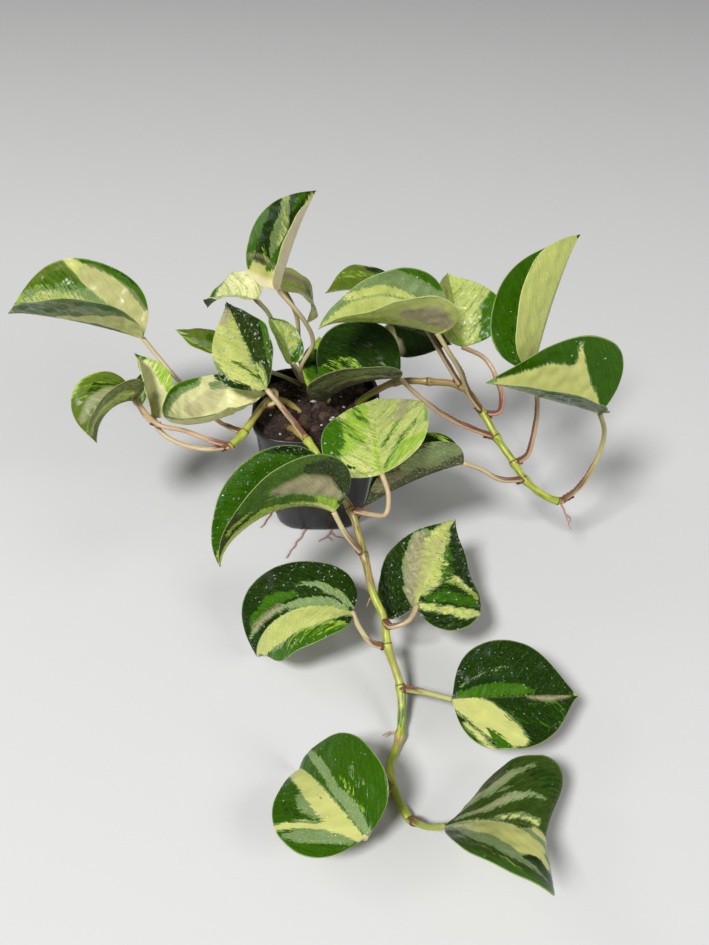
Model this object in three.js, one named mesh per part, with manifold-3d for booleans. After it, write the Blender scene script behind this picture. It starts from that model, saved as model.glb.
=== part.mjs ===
// Potted manjula pothos: a square nursery pot of soil with three trailing vines,
// a crown of young petioles and twenty-seven leaf blades.
// Millimetres, +Z up, origin at the centre of the pot's underside, -Y towards the front.
import * as THREE from 'three';
import { mergeVertices } from 'three/addons/utils/BufferGeometryUtils.js';
import Module from 'manifold-3d';

const wasm = await Module();
wasm.setup();

// Driving dimensions of the pot and its soil
const potHeight = 100;
const potTopWidth = 95;
const potBaseWidth = 70;
const potWall = 1.2;
const potFloor = 1.5;
const potSideBulge = 1.6;
const rimLip = 1.6;
const rimHeight = 4;
const potSquareness = 3.5;
const potSides = 40;
const drainSlot = { width: 8, depth: 8, height: 2.6, offset: 10 };
const soilLevel = 93;
const soilRoughness = 1.3;
const barkChips = 12;

// Driving dimensions of the plant
const bladeThickness = 0.7;
const bladeRowLength = 7.5;
const wideBlade = 45;
const hookStart = 0.75;
const rowCrowding = 1.15;
const lobeShare = 0.42;
const sharpestMitre = 1.9;
const stemRadius = 2.8;
const crownRadius = 4.2;
const petioleRadius = 1.7;
const nodeSwelling = 1.25;
const rootRadius = 0.7;
const bladeSetback = 0.9;
const gap = 0.32;

const degrees = Math.PI / 180;
const point = (p) => new THREE.Vector3(p[0], p[1], p[2]);

// A seeded draw, so that the scattered pieces are the same every time
function seededRandom(seed) {
  let state = seed;
  return () => {
    state = (state * 1664525 + 1013904223) % 4294967296;
    return state / 4294967296;
  };
}

// Solids go to the boolean kernel and come back as three.js geometry
function toSolid(geometry) {
  const plain = geometry.index ? geometry.clone() : mergeVertices(geometry.clone());
  plain.deleteAttribute('normal');
  plain.deleteAttribute('uv');
  const merged = mergeVertices(plain, 1e-4);
  return new wasm.Manifold(new wasm.Mesh({
    numProp: 3,
    vertProperties: new Float32Array(merged.attributes.position.array),
    triVerts: new Uint32Array(merged.index.array),
  }));
}

function toGeometry(solid) {
  const mesh = solid.getMesh();
  const geometry = new THREE.BufferGeometry();
  geometry.setAttribute('position', new THREE.BufferAttribute(new Float32Array(mesh.vertProperties), 3));
  geometry.setIndex(new THREE.BufferAttribute(new Uint32Array(mesh.triVerts), 1));
  geometry.computeVertexNormals();
  return geometry;
}

function largestPiece(solid) {
  const pieces = solid.decompose();
  return pieces.reduce((best, piece) => (piece.volume() > best.volume() ? piece : best));
}

// A round rod along a smooth curve through hand-placed points
function rod(points, radius, sides = 5, stepLength = 9) {
  const path = new THREE.CatmullRomCurve3(points.map(point), false, 'centripetal');
  const section = new THREE.Shape();
  for (let i = 0; i < sides; i += 1) {
    const angle = (2 * Math.PI * i) / sides;
    const [x, y] = [radius * Math.cos(angle), radius * Math.sin(angle)];
    if (i === 0) section.moveTo(x, y);
    else section.lineTo(x, y);
  }
  section.closePath();
  const steps = Math.max(3, Math.round(path.getLength() / stepLength));
  return toSolid(new THREE.ExtrudeGeometry(section, { steps, bevelEnabled: false, extrudePath: path }));
}

function knob(centre, radius) {
  const ball = new THREE.SphereGeometry(radius, 7, 4);
  ball.rotateX(Math.PI / 2);
  ball.translate(centre[0], centre[1], centre[2]);
  return toSolid(ball);
}

// Half of the blade outline, as fractions of the length and of the half width:
// one curve from the notch at the petiole round the lobe to the widest point,
// and one from there to the tip
function halfOutline(lobe, widest, rows) {
  const lobeCurve = new THREE.CubicBezierCurve(
    new THREE.Vector2(0, 0),
    new THREE.Vector2(-1.25 * lobe, 0.28),
    new THREE.Vector2(-0.9 * lobe, 1),
    new THREE.Vector2(widest, 1),
  );
  const tipCurve = new THREE.CubicBezierCurve(
    new THREE.Vector2(widest, 1),
    new THREE.Vector2(widest + 0.34, 1),
    new THREE.Vector2(0.86, 0.2),
    new THREE.Vector2(1, 0),
  );
  return Array.from({ length: rows + 1 }, (_, i) => {
    const a = i / rows;
    if (a < lobeShare) return lobeCurve.getPoint(a / lobeShare);
    return tipCurve.getPoint((a - lobeShare) / (1 - lobeShare));
  });
}

// The bent blade surface: a flat outline folded along the midrib, cupped across,
// arched and hooked along its length and twisted towards the tip.
// Angles are in degrees. A left half lies to the left when looking along the midrib from above.
function bladeSurface(leaf, grow = 0) {
  const { heading, rise, roll, foldLeft, foldRight, arch } = leaf;
  const { cup = 0, hook = 0, twist = 0, lobe = 0.05, widest = 0.38 } = leaf;
  const length = leaf.length + grow;
  const halfWidth = leaf.width / 2 + grow;
  const rows = Math.max(8, Math.round(length / bladeRowLength));
  const columns = leaf.width > wideBlade ? 3 : 2;
  const outline = halfOutline(lobe, widest, rows);

  const along = new THREE.Vector3(
    Math.cos(heading * degrees) * Math.cos(rise * degrees),
    Math.sin(heading * degrees) * Math.cos(rise * degrees),
    Math.sin(rise * degrees),
  );
  const level = new THREE.Vector3(-Math.sin(heading * degrees), Math.cos(heading * degrees), 0);
  const upright = along.clone().cross(level);
  const left = level.clone().applyAxisAngle(along, roll * degrees);
  const normal = upright.clone().applyAxisAngle(along, roll * degrees);

  // Position and slope of the midrib at a distance from the petiole
  const midrib = (distance) => {
    if (distance <= 0) return { forward: distance, lift: 0, slope: 0 };
    const parts = 24;
    let [forward, lift, slope] = [0, 0, 0];
    for (let k = 0; k < parts; k += 1) {
      const s = (distance * (k + 0.5)) / parts / length;
      slope = -(arch * s + hook * Math.max(0, (s - hookStart) / (1 - hookStart)) ** 2) * degrees;
      forward += (Math.cos(slope) * distance) / parts;
      lift += (Math.sin(slope) * distance) / parts;
    }
    return { forward, lift, slope };
  };

  const positionAt = (row, column, side) => {
    const a = row / rows;
    const r = column / columns;
    const x = (a ** rowCrowding * (1 - r) + outline[row].x * r) * length;
    const q = outline[row].y * r;
    const fold = (side > 0 ? foldLeft : foldRight) * degrees;
    const bend = cup * degrees;
    const across = Math.abs(bend) < 0.01
      ? q * halfWidth * Math.cos(fold)
      : (halfWidth / bend) * (Math.sin(fold + bend * q) - Math.sin(fold));
    const raised = Math.abs(bend) < 0.01
      ? q * halfWidth * Math.sin(fold)
      : (-halfWidth / bend) * (Math.cos(fold + bend * q) - Math.cos(fold));
    const { forward, lift, slope } = midrib(x);
    const up = normal.clone().multiplyScalar(Math.cos(slope)).addScaledVector(along, -Math.sin(slope));
    const turn = (twist * degrees * Math.max(x, 0)) / length;
    const sideways = left.clone().multiplyScalar(Math.cos(turn)).addScaledVector(up, Math.sin(turn));
    const outward = up.clone().multiplyScalar(Math.cos(turn)).addScaledVector(left, -Math.sin(turn));
    return point(leaf.at)
      .addScaledVector(along, forward)
      .addScaledVector(normal, lift)
      .addScaledVector(sideways, side * across)
      .addScaledVector(outward, raised);
  };

  // Both halves share the petiole point, the midrib and the tip
  const vertices = [];
  const known = new Map();
  const vertex = (row, column, side) => {
    const shared = row === 0 || row === rows || column === 0;
    const key = shared ? `${row}` : `${row},${column},${side}`;
    if (!known.has(key)) {
      known.set(key, vertices.length);
      vertices.push(positionAt(row, shared ? 0 : column, side));
    }
    return known.get(key);
  };
  const faces = [];
  const edge = [];
  for (const side of [1, -1]) {
    for (let row = 0; row < rows; row += 1) {
      for (let column = 0; column < columns; column += 1) {
        const [p, q] = [vertex(row, column, side), vertex(row, column + 1, side)];
        const [r, s] = [vertex(row + 1, column, side), vertex(row + 1, column + 1, side)];
        for (const face of [[p, r, s], [p, s, q]]) {
          if (new Set(face).size === 3) faces.push(side > 0 ? face : [face[0], face[2], face[1]]);
        }
      }
      const step = [vertex(row, columns, side), vertex(row + 1, columns, side)];
      edge.push(side > 0 ? step : [step[1], step[0]]);
    }
  }
  return { vertices, faces, edge };
}

// The blade as a closed body: the surface offset to both faces and closed at its margin
function blade(leaf, grow = 0) {
  const { vertices, faces, edge } = bladeSurface(leaf, grow);
  const facing = faces.map(([a, b, c]) => {
    const ab = vertices[b].clone().sub(vertices[a]);
    const ac = vertices[c].clone().sub(vertices[a]);
    return ab.cross(ac);
  });
  const normals = vertices.map(() => new THREE.Vector3());
  faces.forEach((corners, f) => corners.forEach((corner) => normals[corner].add(facing[f])));
  normals.forEach((normal) => normal.normalize());
  // Along a sharp fold the offset is mitred, so that the blade keeps its thickness there
  const mitre = vertices.map(() => 1);
  faces.forEach((corners, f) => corners.forEach((corner) => {
    const along = normals[corner].dot(facing[f].clone().normalize());
    mitre[corner] = Math.max(mitre[corner], Math.min(sharpestMitre, 1 / Math.max(along, 0.1)));
  }));
  const half = bladeThickness / 2 + grow;
  const count = vertices.length;
  const positions = [];
  for (const sign of [1, -1]) {
    vertices.forEach((v, i) => {
      const p = v.clone().addScaledVector(normals[i], sign * half * mitre[i]);
      positions.push(p.x, p.y, p.z);
    });
  }
  const index = [];
  for (const [a, b, c] of faces) index.push(a, b, c, a + count, c + count, b + count);
  for (const [a, b] of edge) index.push(a, b, b + count, a, b + count, a + count);
  const geometry = new THREE.BufferGeometry();
  geometry.setAttribute('position', new THREE.Float32BufferAttribute(positions, 3));
  geometry.setIndex(index);
  geometry.computeVertexNormals();
  return geometry;
}

// Leaves of each stem, from the pot outwards. Each blade starts at the end of its petiole.
const leaves = {
  front: [
    { at: [-34, -17, 124], heading: 113, rise: 16, roll: -24, length: 83, width: 59,
      foldLeft: 30, foldRight: 47, arch: -15, lobe: 0.02, widest: 0.33 },
    { at: [47, -86, 104], heading: 95, rise: 18, roll: -19, length: 72, width: 80,
      foldLeft: 9, foldRight: 25, arch: 19, cup: -7, twist: 14, lobe: 0.02, widest: 0.43, pale: true },
    { at: [15, -110, 92], heading: 198, rise: 45, roll: 25, length: 98, width: 79,
      foldLeft: 68, foldRight: 49, arch: 90, cup: 17, hook: 33, twist: -19, lobe: 0, widest: 0.33 },
    { at: [69, -154, 50], heading: 69, rise: 14, roll: -17, length: 79, width: 85,
      foldLeft: -27, foldRight: -32, arch: 15, hook: 9, twist: 42, lobe: 0.16, widest: 0.31 },
    { at: [27, -151, 40], heading: 168, rise: 19, roll: 21, length: 88, width: 71,
      foldLeft: 3, foldRight: 33, arch: 103, cup: -16, hook: 11, twist: -34, lobe: 0.02, widest: 0.48 },
    { at: [89, -209, 26], heading: -3, rise: 10, roll: 21, length: 78, width: 72,
      foldLeft: 0, foldRight: 20, arch: 12, hook: 15, lobe: -0.03, widest: 0.45 },
    { at: [34, -297, 27], heading: 128, rise: 9, roll: -4, length: 76, width: 72,
      foldLeft: 1, foldRight: 36, arch: 55, hook: 30, lobe: 0 },
    { at: [79, -287, 20], heading: -5, rise: 40, roll: -19, length: 61, width: 97,
      foldLeft: -15, foldRight: 39, arch: 47, hook: 86, twist: 27, lobe: -0.16, widest: 0.78 },
  ],
  right: [
    { at: [66, 42, 165], heading: 203, rise: 32, roll: 6, length: 67, width: 52,
      foldLeft: 25, foldRight: 23, arch: 32, pale: true },
    { at: [86, -4, 163], heading: 191, rise: 24, roll: -8, length: 86, width: 78,
      foldLeft: 64, foldRight: 37, arch: 28, cup: 20, hook: 36, twist: -25, lobe: 0.08,
      widest: 0.28, pale: true },
    { at: [109, 27, 132], heading: 100, rise: 43, roll: 6, length: 61, width: 68,
      foldLeft: 35, foldRight: 29, arch: 15, cup: 11, twist: 11, lobe: 0, widest: 0.36, pale: true },
    { at: [61, -8, 128], heading: 183, rise: 4, roll: -21, length: 67, width: 89,
      foldLeft: 64, foldRight: 34, arch: 69, cup: 10, hook: -6, lobe: 0.02, widest: 0.45 },
    { at: [150, -32, 150], heading: 70, rise: 48, roll: -22, length: 107, width: 76,
      foldLeft: 33, foldRight: 88, arch: 22, cup: 10, hook: 14, twist: -6, lobe: 0,
      widest: 0.37, pale: true },
    { at: [104, -65, 96], heading: 192, rise: -8, roll: 8, length: 77, width: 59,
      foldLeft: 75, foldRight: 43, arch: 26, cup: 6, hook: -12, lobe: 0.02 },
    { at: [196, -50, 128], heading: 191, rise: 23, roll: -24, length: 93, width: 100,
      foldLeft: 60, foldRight: 57, arch: -3, hook: 15, lobe: 0.06, widest: 0.29 },
  ],
  left: [
    { at: [-36, -9, 116], heading: 196, rise: -36, roll: -28, length: 99, width: 70,
      foldLeft: 59, foldRight: 4, arch: -106, cup: 15, hook: -18, lobe: -0.06, widest: 0.46, pale: true },
    { at: [-132, 39, 132], heading: 175, rise: 18, roll: -11, length: 105, width: 93,
      foldLeft: 76, foldRight: 41, arch: 19, cup: -9, hook: 13, twist: -21, lobe: 0.01,
      widest: 0.46, pale: true },
    { at: [-129, -21, 118], heading: 216, rise: 26, roll: 11, length: 47, width: 62,
      foldLeft: 51, foldRight: 31, arch: 110, hook: -10, twist: -7, pale: true },
    { at: [-116, -28, 108], heading: 104, rise: 39, roll: 27, length: 56, width: 39,
      foldLeft: 53, foldRight: 27, arch: 30, cup: 16, pale: true },
    { at: [-129, -13, 107], heading: 87, rise: 33, roll: 0, length: 30, width: 13,
      foldLeft: 30, foldRight: 30, arch: 15, pale: true },
  ],
  crown: [
    { at: [-25, 22, 182], heading: 68, rise: 47, roll: -5, length: 82, width: 62,
      foldLeft: 38, foldRight: 78, arch: 22, hook: 9, twist: 24, lobe: 0.03, widest: 0.36 },
    { at: [-45, 48, 160], heading: 160, rise: 12, roll: -4, length: 49, width: 40,
      foldLeft: 28, foldRight: 30, arch: 66, pale: true },
    { at: [-25, 44, 175], heading: 13, rise: -4, roll: 5, length: 51, width: 36,
      foldLeft: 19, foldRight: 15, arch: 122, cup: -12, lobe: 0.06, widest: 0.24, pale: true },
    { at: [-18, 18, 124], heading: 117, rise: 46, roll: 10, length: 43, width: 26,
      foldLeft: 33, foldRight: 26, arch: 35, cup: 10, hook: 7, pale: true },
    { at: [-68, 29, 128], heading: 164, rise: 17, roll: 0, length: 42, width: 30,
      foldLeft: 10, foldRight: 10, arch: 5, cup: -9, twist: 11 },
    { at: [57, 69, 126], heading: -31, rise: 1, roll: -4, length: 54, width: 55,
      foldLeft: -8, foldRight: -19, arch: 6, hook: -12 },
    { at: [8, 7, 104], heading: 103, rise: 33, roll: -21, length: 53, width: 32,
      foldLeft: 22, foldRight: 43, arch: 25, cup: 13 },
  ],
};

// Each stem is a main rod with its petioles, nodes and aerial roots fused to it
const stems = {
  front: {
    main: [[-20, -20, 88], [-18, -25, 95], [-10, -44, 105], [-4, -53, 106], [6, -67, 99], [17, -83, 87],
      [26, -93, 78], [35, -121, 62], [41, -145, 51], [48, -159, 42], [50, -174, 33], [58, -195, 18],
      [57, -221, 5], [50, -242, 3.3], [53, -259, 3.3], [60, -276, 6]],
    petioles: [
      [[-4, -53, 106], [-17, -36, 113], [-34, -17, 124]],
      [[26, -93, 78], [40, -104, 84], [49, -110, 90], [51, -99, 97], [47, -86, 104]],
      [[35, -121, 62], [23, -117, 78], [15, -110, 92]],
      [[48, -159, 42], [52, -169, 47], [62, -168, 51], [67, -160, 50], [69, -154, 50]],
      [[50, -174, 33], [40, -173, 35], [32, -162, 37], [27, -151, 40]],
      [[58, -196, 19], [73, -202, 23], [89, -209, 26]],
      [[51, -250, 3], [42, -275, 10], [34, -297, 27]],
      [[60, -276, 6], [70, -284, 13], [79, -287, 20]],
    ],
    nodes: [[-4, -53, 106], [26, -93, 78], [35, -121, 62], [50, -174, 33], [58, -195, 18], [57, -221, 5]],
    roots: [[[41, -145, 51], [38, -147, 46], [37, -148, 42]]],
  },
  right: {
    main: [[27, 7, 86], [29, 7, 92], [37, 7, 100], [48, 10, 106], [60, 14, 109], [85, 13, 110],
      [109, 9, 108], [124, -11, 98], [133, -27, 88], [145, -43, 77], [152, -53, 70], [166, -63, 63],
      [177, -66, 60]],
    petioles: [
      [[109, 8, 108], [101, 11, 120], [92, 15, 134], [78, 29, 152], [66, 42, 165]],
      [[124, -11, 98], [113, -7, 112], [104, -7, 134], [94, -7, 151], [86, -4, 163]],
      [[124, -11, 98], [135, -13, 101], [138, -4, 107], [135, 8, 115], [126, 22, 125], [109, 27, 132]],
      [[133, -27, 88], [113, -23, 94], [94, -17, 101], [75, -12, 115], [61, -8, 128]],
      [[145, -43, 77], [153, -43, 84], [156, -41, 102], [156, -37, 125], [150, -32, 150]],
      [[152, -53, 70], [132, -62, 78], [117, -62, 88], [104, -65, 96]],
      [[177, -66, 60], [191, -60, 70], [200, -55, 92], [202, -51, 112], [196, -50, 128]],
    ],
    nodes: [[109, 9, 108], [124, -11, 98], [133, -27, 88], [145, -43, 77], [152, -53, 70], [177, -66, 60]],
    roots: [[[177, -66, 60], [182, -68, 50], [187, -71, 38]]],
  },
  left: {
    main: [[-11, 0, 86], [-14, 0, 92], [-24, 3, 99], [-35, -7, 106], [-43, -28, 108], [-50, -42, 104],
      [-59, -52, 100]],
    petioles: [
      [[-39, -14, 107], [-30, -12, 109], [-29, -9, 117], [-36, -9, 116]],
      [[-50, -42, 104], [-71, -19, 97], [-87, 1, 100], [-106, 20, 107], [-120, 31, 119], [-132, 39, 132]],
      [[-59, -52, 100], [-74, -48, 103], [-91, -44, 108], [-109, -42, 112], [-129, -21, 118]],
      [[-59, -52, 100], [-77, -51, 97], [-97, -45, 98], [-110, -37, 102], [-116, -28, 108]],
      [[-109, -42, 112], [-120, -30, 109], [-129, -13, 107]],
    ],
    nodes: [[-35, -7, 106], [-50, -42, 104], [-59, -52, 100]],
    roots: [],
  },
  crown: {
    main: [[-7, 27, 84], [-7, 28, 92], [-8, 28, 99]],
    petioles: [
      [[-8, 27, 94], [-13, 23, 110], [-11, 21, 120], [-2, 21, 139], [-7, 19, 158], [-25, 22, 182]],
      [[-9, 29, 94], [-15, 37, 98], [-22, 46, 108], [-31, 53, 126], [-37, 52, 146], [-45, 48, 160]],
      [[-8, 31, 94], [-13, 37, 112], [-14, 42, 130], [-15, 43, 150], [-25, 44, 175]],
      [[-8, 27, 94], [-11, 23, 108], [-18, 18, 124]],
      [[-9, 28, 94], [-24, 31, 101], [-38, 31, 108], [-54, 30, 120], [-68, 29, 128]],
      [[-6, 29, 94], [8, 38, 100], [18, 47, 105], [28, 57, 109], [44, 65, 116], [57, 69, 126]],
      [[-5, 27, 94], [2, 16, 96], [6, 5, 98], [9, 1, 101], [8, 7, 104]],
    ],
    nodes: [],
    roots: [],
  },
};

// The path with its end drawn back from the blade
function shortened(path) {
  const end = point(path.at(-1));
  const back = point(path.at(-2)).sub(end).setLength(bladeSetback);
  return [...path.slice(0, -1), end.add(back).toArray()];
}

function stemBody(name, grow = 0) {
  const stem = stems[name];
  const radius = (name === 'crown' ? crownRadius : stemRadius) + grow;
  let body = rod(stem.main, radius, 7, 10);
  for (const path of stem.petioles) body = body.add(rod(shortened(path), petioleRadius + grow));
  for (const path of stem.roots) body = body.add(rod(path, rootRadius + grow));
  for (const centre of stem.nodes) body = body.add(knob(centre, radius * nodeSwelling));
  return body;
}

// A petiole ends just short of its blade
function stemGeometry(name) {
  let body = stemBody(name);
  for (const leaf of Object.values(leaves).flat()) body = body.subtract(toSolid(blade(leaf, gap)));
  return toGeometry(largestPiece(body));
}

// Round profiles become rounded squares
function squareUp(geometry) {
  const position = geometry.attributes.position;
  for (let i = 0; i < position.count; i += 1) {
    const [x, y] = [position.getX(i), position.getY(i)];
    const radius = Math.hypot(x, y);
    if (radius < 1e-6) continue;
    const c = Math.abs(x / radius) ** potSquareness;
    const s = Math.abs(y / radius) ** potSquareness;
    const k = (c + s) ** (-1 / potSquareness);
    position.setXY(i, x * k, y * k);
  }
  return geometry;
}

// Half width of the pot's outside at a height
function potHalfWidth(z) {
  const t = z / potHeight;
  const straight = (potBaseWidth + (potTopWidth - potBaseWidth) * t) / 2;
  return straight + potSideBulge * Math.sin(Math.PI * t) - rimLip * t;
}

function turned(profile) {
  const points = profile.map(([r, z]) => new THREE.Vector2(r, z));
  const geometry = new THREE.LatheGeometry(points, potSides);
  geometry.rotateX(Math.PI / 2);
  return squareUp(geometry);
}

function potGeometry() {
  const rimStart = potHeight - rimHeight;
  const outside = [0.03, 0.25, 0.5, 0.75].map((t) => [potHalfWidth(t * rimStart), t * rimStart]);
  const inside = [0.75, 0.5, 0.25].map((t) => [potHalfWidth(t * rimStart) - potWall, t * rimStart]);
  const top = potHalfWidth(potHeight);
  const profile = [
    [0, 0],
    [potBaseWidth / 2 - 2, 0],
    ...outside,
    [potHalfWidth(rimStart), rimStart],
    [top + rimLip, rimStart + 0.6],
    [top + rimLip, potHeight - 0.8],
    [top + rimLip - 0.8, potHeight],
    [top - potWall + 0.6, potHeight],
    [top - potWall, potHeight - 1],
    ...inside,
    [potBaseWidth / 2 - potWall - 1, potFloor],
    [0, potFloor],
  ];
  let body = toSolid(turned(profile));
  for (const side of [0, 1, 2, 3]) {
    for (const offset of [-drainSlot.offset, drainSlot.offset]) {
      const slot = new THREE.BoxGeometry(drainSlot.width, drainSlot.depth, 2 * drainSlot.height);
      slot.translate(offset, -potBaseWidth / 2, 0);
      slot.rotateZ((side * Math.PI) / 2);
      body = body.subtract(toSolid(slot));
    }
  }
  return toGeometry(body);
}

// Lumps of the soil's top, by a sum of waves
function soilLump(x, y) {
  const short = Math.sin(x * 0.31 + 1.7) * Math.cos(y * 0.27);
  const slanted = 0.6 * Math.sin(x * 0.13 - y * 0.41);
  return soilRoughness * (short + slanted);
}

function soilGeometry() {
  const clearance = potWall + gap;
  const bottom = potFloor + gap;
  const radii = [0.25, 0.5, 0.75, 0.92];
  const topHalf = potHalfWidth(soilLevel - 2) - clearance;
  const profile = [
    [0, bottom],
    [potBaseWidth / 2 - clearance - 1.5, bottom],
    ...[0.25, 0.5, 0.75].map((t) => [potHalfWidth(t * soilLevel) - clearance, t * soilLevel]),
    [topHalf, soilLevel - 2],
    ...radii.reverse().map((t) => [topHalf * t, soilLevel]),
    [0, soilLevel],
  ];
  const geometry = turned(profile);
  const position = geometry.attributes.position;
  for (let i = 0; i < position.count; i += 1) {
    if (position.getZ(i) > soilLevel - 1) {
      position.setZ(i, soilLevel + soilLump(position.getX(i), position.getY(i)));
    }
  }
  let body = toSolid(geometry);
  const random = seededRandom(11);
  for (let i = 0; i < barkChips; i += 1) {
    const chip = new THREE.IcosahedronGeometry(1, 0);
    chip.scale(2 + 2 * random(), 1.4 + 1.2 * random(), 1.1 + random());
    chip.rotateZ(random() * Math.PI);
    const [x, y] = [(random() - 0.5) * 66, (random() - 0.5) * 66];
    chip.translate(x, y, soilLevel + soilLump(x, y) + 0.3);
    body = body.add(toSolid(chip));
  }
  for (const name of Object.keys(stems)) body = body.subtract(stemBody(name, gap));
  return toGeometry(largestPiece(body));
}

// Roots that have grown out of the drain slots and lie on the surface
const drainRoots = {
  drain_root_long: [[[-10, -31.5, 1], [-11, -37, 1], [-17, -50, 1], [-24, -66, 1]]],
  drain_root_forked: [
    [[10, -31.5, 1], [10, -38, 1], [6, -43, 1], [1, -48, 1]],
    [[10, -38, 1], [14, -42, 1], [20, -44, 1]],
    [[7, -42, 1], [12, -47, 1]],
  ],
  drain_root_short: [[[-31.5, -10, 1], [-38, -14, 1], [-42, -24, 1], [-46, -33, 1]]],
};

function rootGeometry(paths) {
  return toGeometry(paths.map((path) => rod(path, rootRadius, 6, 5)).reduce((a, b) => a.add(b)));
}

const colours = {
  pot: { color: 0x0d0d0e, roughness: 0.35, metalness: 0 },
  soil: { color: 0x2c1d14, roughness: 0.95, metalness: 0 },
  stem: { color: 0x9fae45, roughness: 0.5, metalness: 0 },
  petiole: { color: 0xb59a7c, roughness: 0.5, metalness: 0 },
  root: { color: 0xa87a6e, roughness: 0.7, metalness: 0 },
  greenLeaf: { color: 0x2f6a2a, roughness: 0.4, metalness: 0 },
  paleLeaf: { color: 0xcfd59a, roughness: 0.4, metalness: 0 },
};

const plant = new THREE.Group();

function addPart(name, geometry, colour) {
  const mesh = new THREE.Mesh(geometry, new THREE.MeshStandardMaterial(colours[colour]));
  mesh.name = name;
  plant.add(mesh);
}

addPart('pot', potGeometry(), 'pot');
addPart('soil', soilGeometry(), 'soil');
for (const name of Object.keys(stems)) {
  addPart(`stem_${name}`, stemGeometry(name), name === 'crown' ? 'petiole' : 'stem');
  leaves[name].forEach((leaf, i) => {
    addPart(`leaf_${name}_${i + 1}`, blade(leaf), leaf.pale ? 'paleLeaf' : 'greenLeaf');
  });
}
for (const [name, paths] of Object.entries(drainRoots)) addPart(name, rootGeometry(paths), 'root');

export default plant;
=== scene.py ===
import math
import random

import bpy
import numpy as np
from mathutils import Matrix, Vector, noise


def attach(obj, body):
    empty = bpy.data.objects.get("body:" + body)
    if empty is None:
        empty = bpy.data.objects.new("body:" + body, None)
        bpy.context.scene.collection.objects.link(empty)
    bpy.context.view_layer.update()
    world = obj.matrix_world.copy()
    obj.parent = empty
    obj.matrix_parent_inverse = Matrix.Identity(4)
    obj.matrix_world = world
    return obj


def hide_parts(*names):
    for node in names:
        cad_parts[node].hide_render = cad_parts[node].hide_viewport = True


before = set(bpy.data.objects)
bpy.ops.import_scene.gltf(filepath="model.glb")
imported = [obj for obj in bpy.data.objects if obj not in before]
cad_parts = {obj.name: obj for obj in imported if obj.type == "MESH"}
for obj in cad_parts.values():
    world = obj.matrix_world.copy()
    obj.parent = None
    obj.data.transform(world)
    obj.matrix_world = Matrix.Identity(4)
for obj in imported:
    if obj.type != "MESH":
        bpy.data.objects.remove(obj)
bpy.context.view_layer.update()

mm = 0.001
print("frame loaded:", len(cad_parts), "nodes")


# camera, light and floor

cameraView = dict(place=(0.0286, -0.5145, 0.478), pitchDown=41.0, lens=32.38, sensor=36.0)
studio = dict(
    key=dict(place=(-1.2, -1.8, 2.9), size=0.8, power=130),
    fill=dict(place=(2.4, -1.5, 1.7), size=1.4, power=38),
    rim=dict(place=(-2.6, 0.8, 2.0), size=1.0, power=11),
    lightTarget=(0.02, -0.08, 0.09),
    skyColor=(1.0, 1.0, 1.0), skyStrength=0.2,
    floorSize=7.0, floorColor=(0.60, 0.60, 0.595), floorShade=0.97, floorRoughness=0.85,
)


def addCamera():
    data = bpy.data.cameras.new("camera")
    data.lens = cameraView["lens"]
    data.sensor_width = cameraView["sensor"]  # held on the long side of the picture
    camera = bpy.data.objects.new("camera", data)
    camera.location = cameraView["place"]
    camera.rotation_euler = (math.radians(90 - cameraView["pitchDown"]), 0, 0)
    bpy.context.scene.collection.objects.link(camera)
    bpy.context.scene.camera = camera


def addAreaLight(name, place, size, power):
    data = bpy.data.lights.new(name, "AREA")
    data.shape = "DISK"
    data.size = size
    data.energy = power
    light = bpy.data.objects.new(name, data)
    light.location = place
    aim = Vector(studio["lightTarget"]) - Vector(place)
    light.rotation_euler = aim.to_track_quat("-Z", "Y").to_euler()
    bpy.context.scene.collection.objects.link(light)


# small helpers for nodes

def feed(tree, socket, value):
    # a socket takes another node's output, a colour or a number
    if isinstance(value, bpy.types.NodeSocket):
        tree.links.new(value, socket)
    else:
        socket.default_value = (*value, 1.0) if isinstance(value, tuple) else value


def putNode(tree, kind, inputs=None, **settings):
    node = tree.nodes.new(kind)
    for key, value in settings.items():
        setattr(node, key, value)
    for key, value in (inputs or {}).items():
        feed(tree, node.inputs[key], value)
    return node


def calc(tree, operation, *values, clamp=False):
    node = putNode(tree, "ShaderNodeMath", operation=operation, use_clamp=clamp)
    for socket, value in zip(node.inputs, values):
        feed(tree, socket, value)
    return node.outputs[0]


def times(tree, a, b):
    return calc(tree, "MULTIPLY", a, b)


def blendColor(tree, factor, a, b, mode="MIX"):
    node = putNode(tree, "ShaderNodeMix", {0: factor, 6: a, 7: b}, data_type="RGBA", blend_type=mode)
    return node.outputs[2]


def tint(tree, color, tone, mask, amount, mode="MIX"):
    # lays a tone over a colour where the mask says
    return blendColor(tree, times(tree, mask, amount), color, tone, mode)


def stretch(tree, value, low, high, toLow=0.0, toHigh=1.0):
    node = putNode(tree, "ShaderNodeMapRange", interpolation_type="SMOOTHSTEP")
    for socket, given in zip(node.inputs, (value, low, high, toLow, toHigh)):
        feed(tree, socket, given)
    return node.outputs[0]


def readAttribute(tree, name, output="Fac"):
    return putNode(tree, "ShaderNodeAttribute", attribute_name=name).outputs[output]


def splitVector(tree, value):
    return putNode(tree, "ShaderNodeSeparateXYZ", {0: value}).outputs


def joinVector(tree, x, y, z):
    return putNode(tree, "ShaderNodeCombineXYZ", {0: x, 1: y, 2: z}).outputs[0]


def scaledPlace(tree, place, along, across, depth):
    return joinVector(tree, times(tree, place[0], along), times(tree, place[1], across), depth)


def noiseField(tree, vector, scale, detail=3.0, roughness=0.55):
    inputs = {"Vector": vector, "Scale": scale, "Detail": detail, "Roughness": roughness}
    return putNode(tree, "ShaderNodeTexNoise", inputs).outputs["Fac"]


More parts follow.
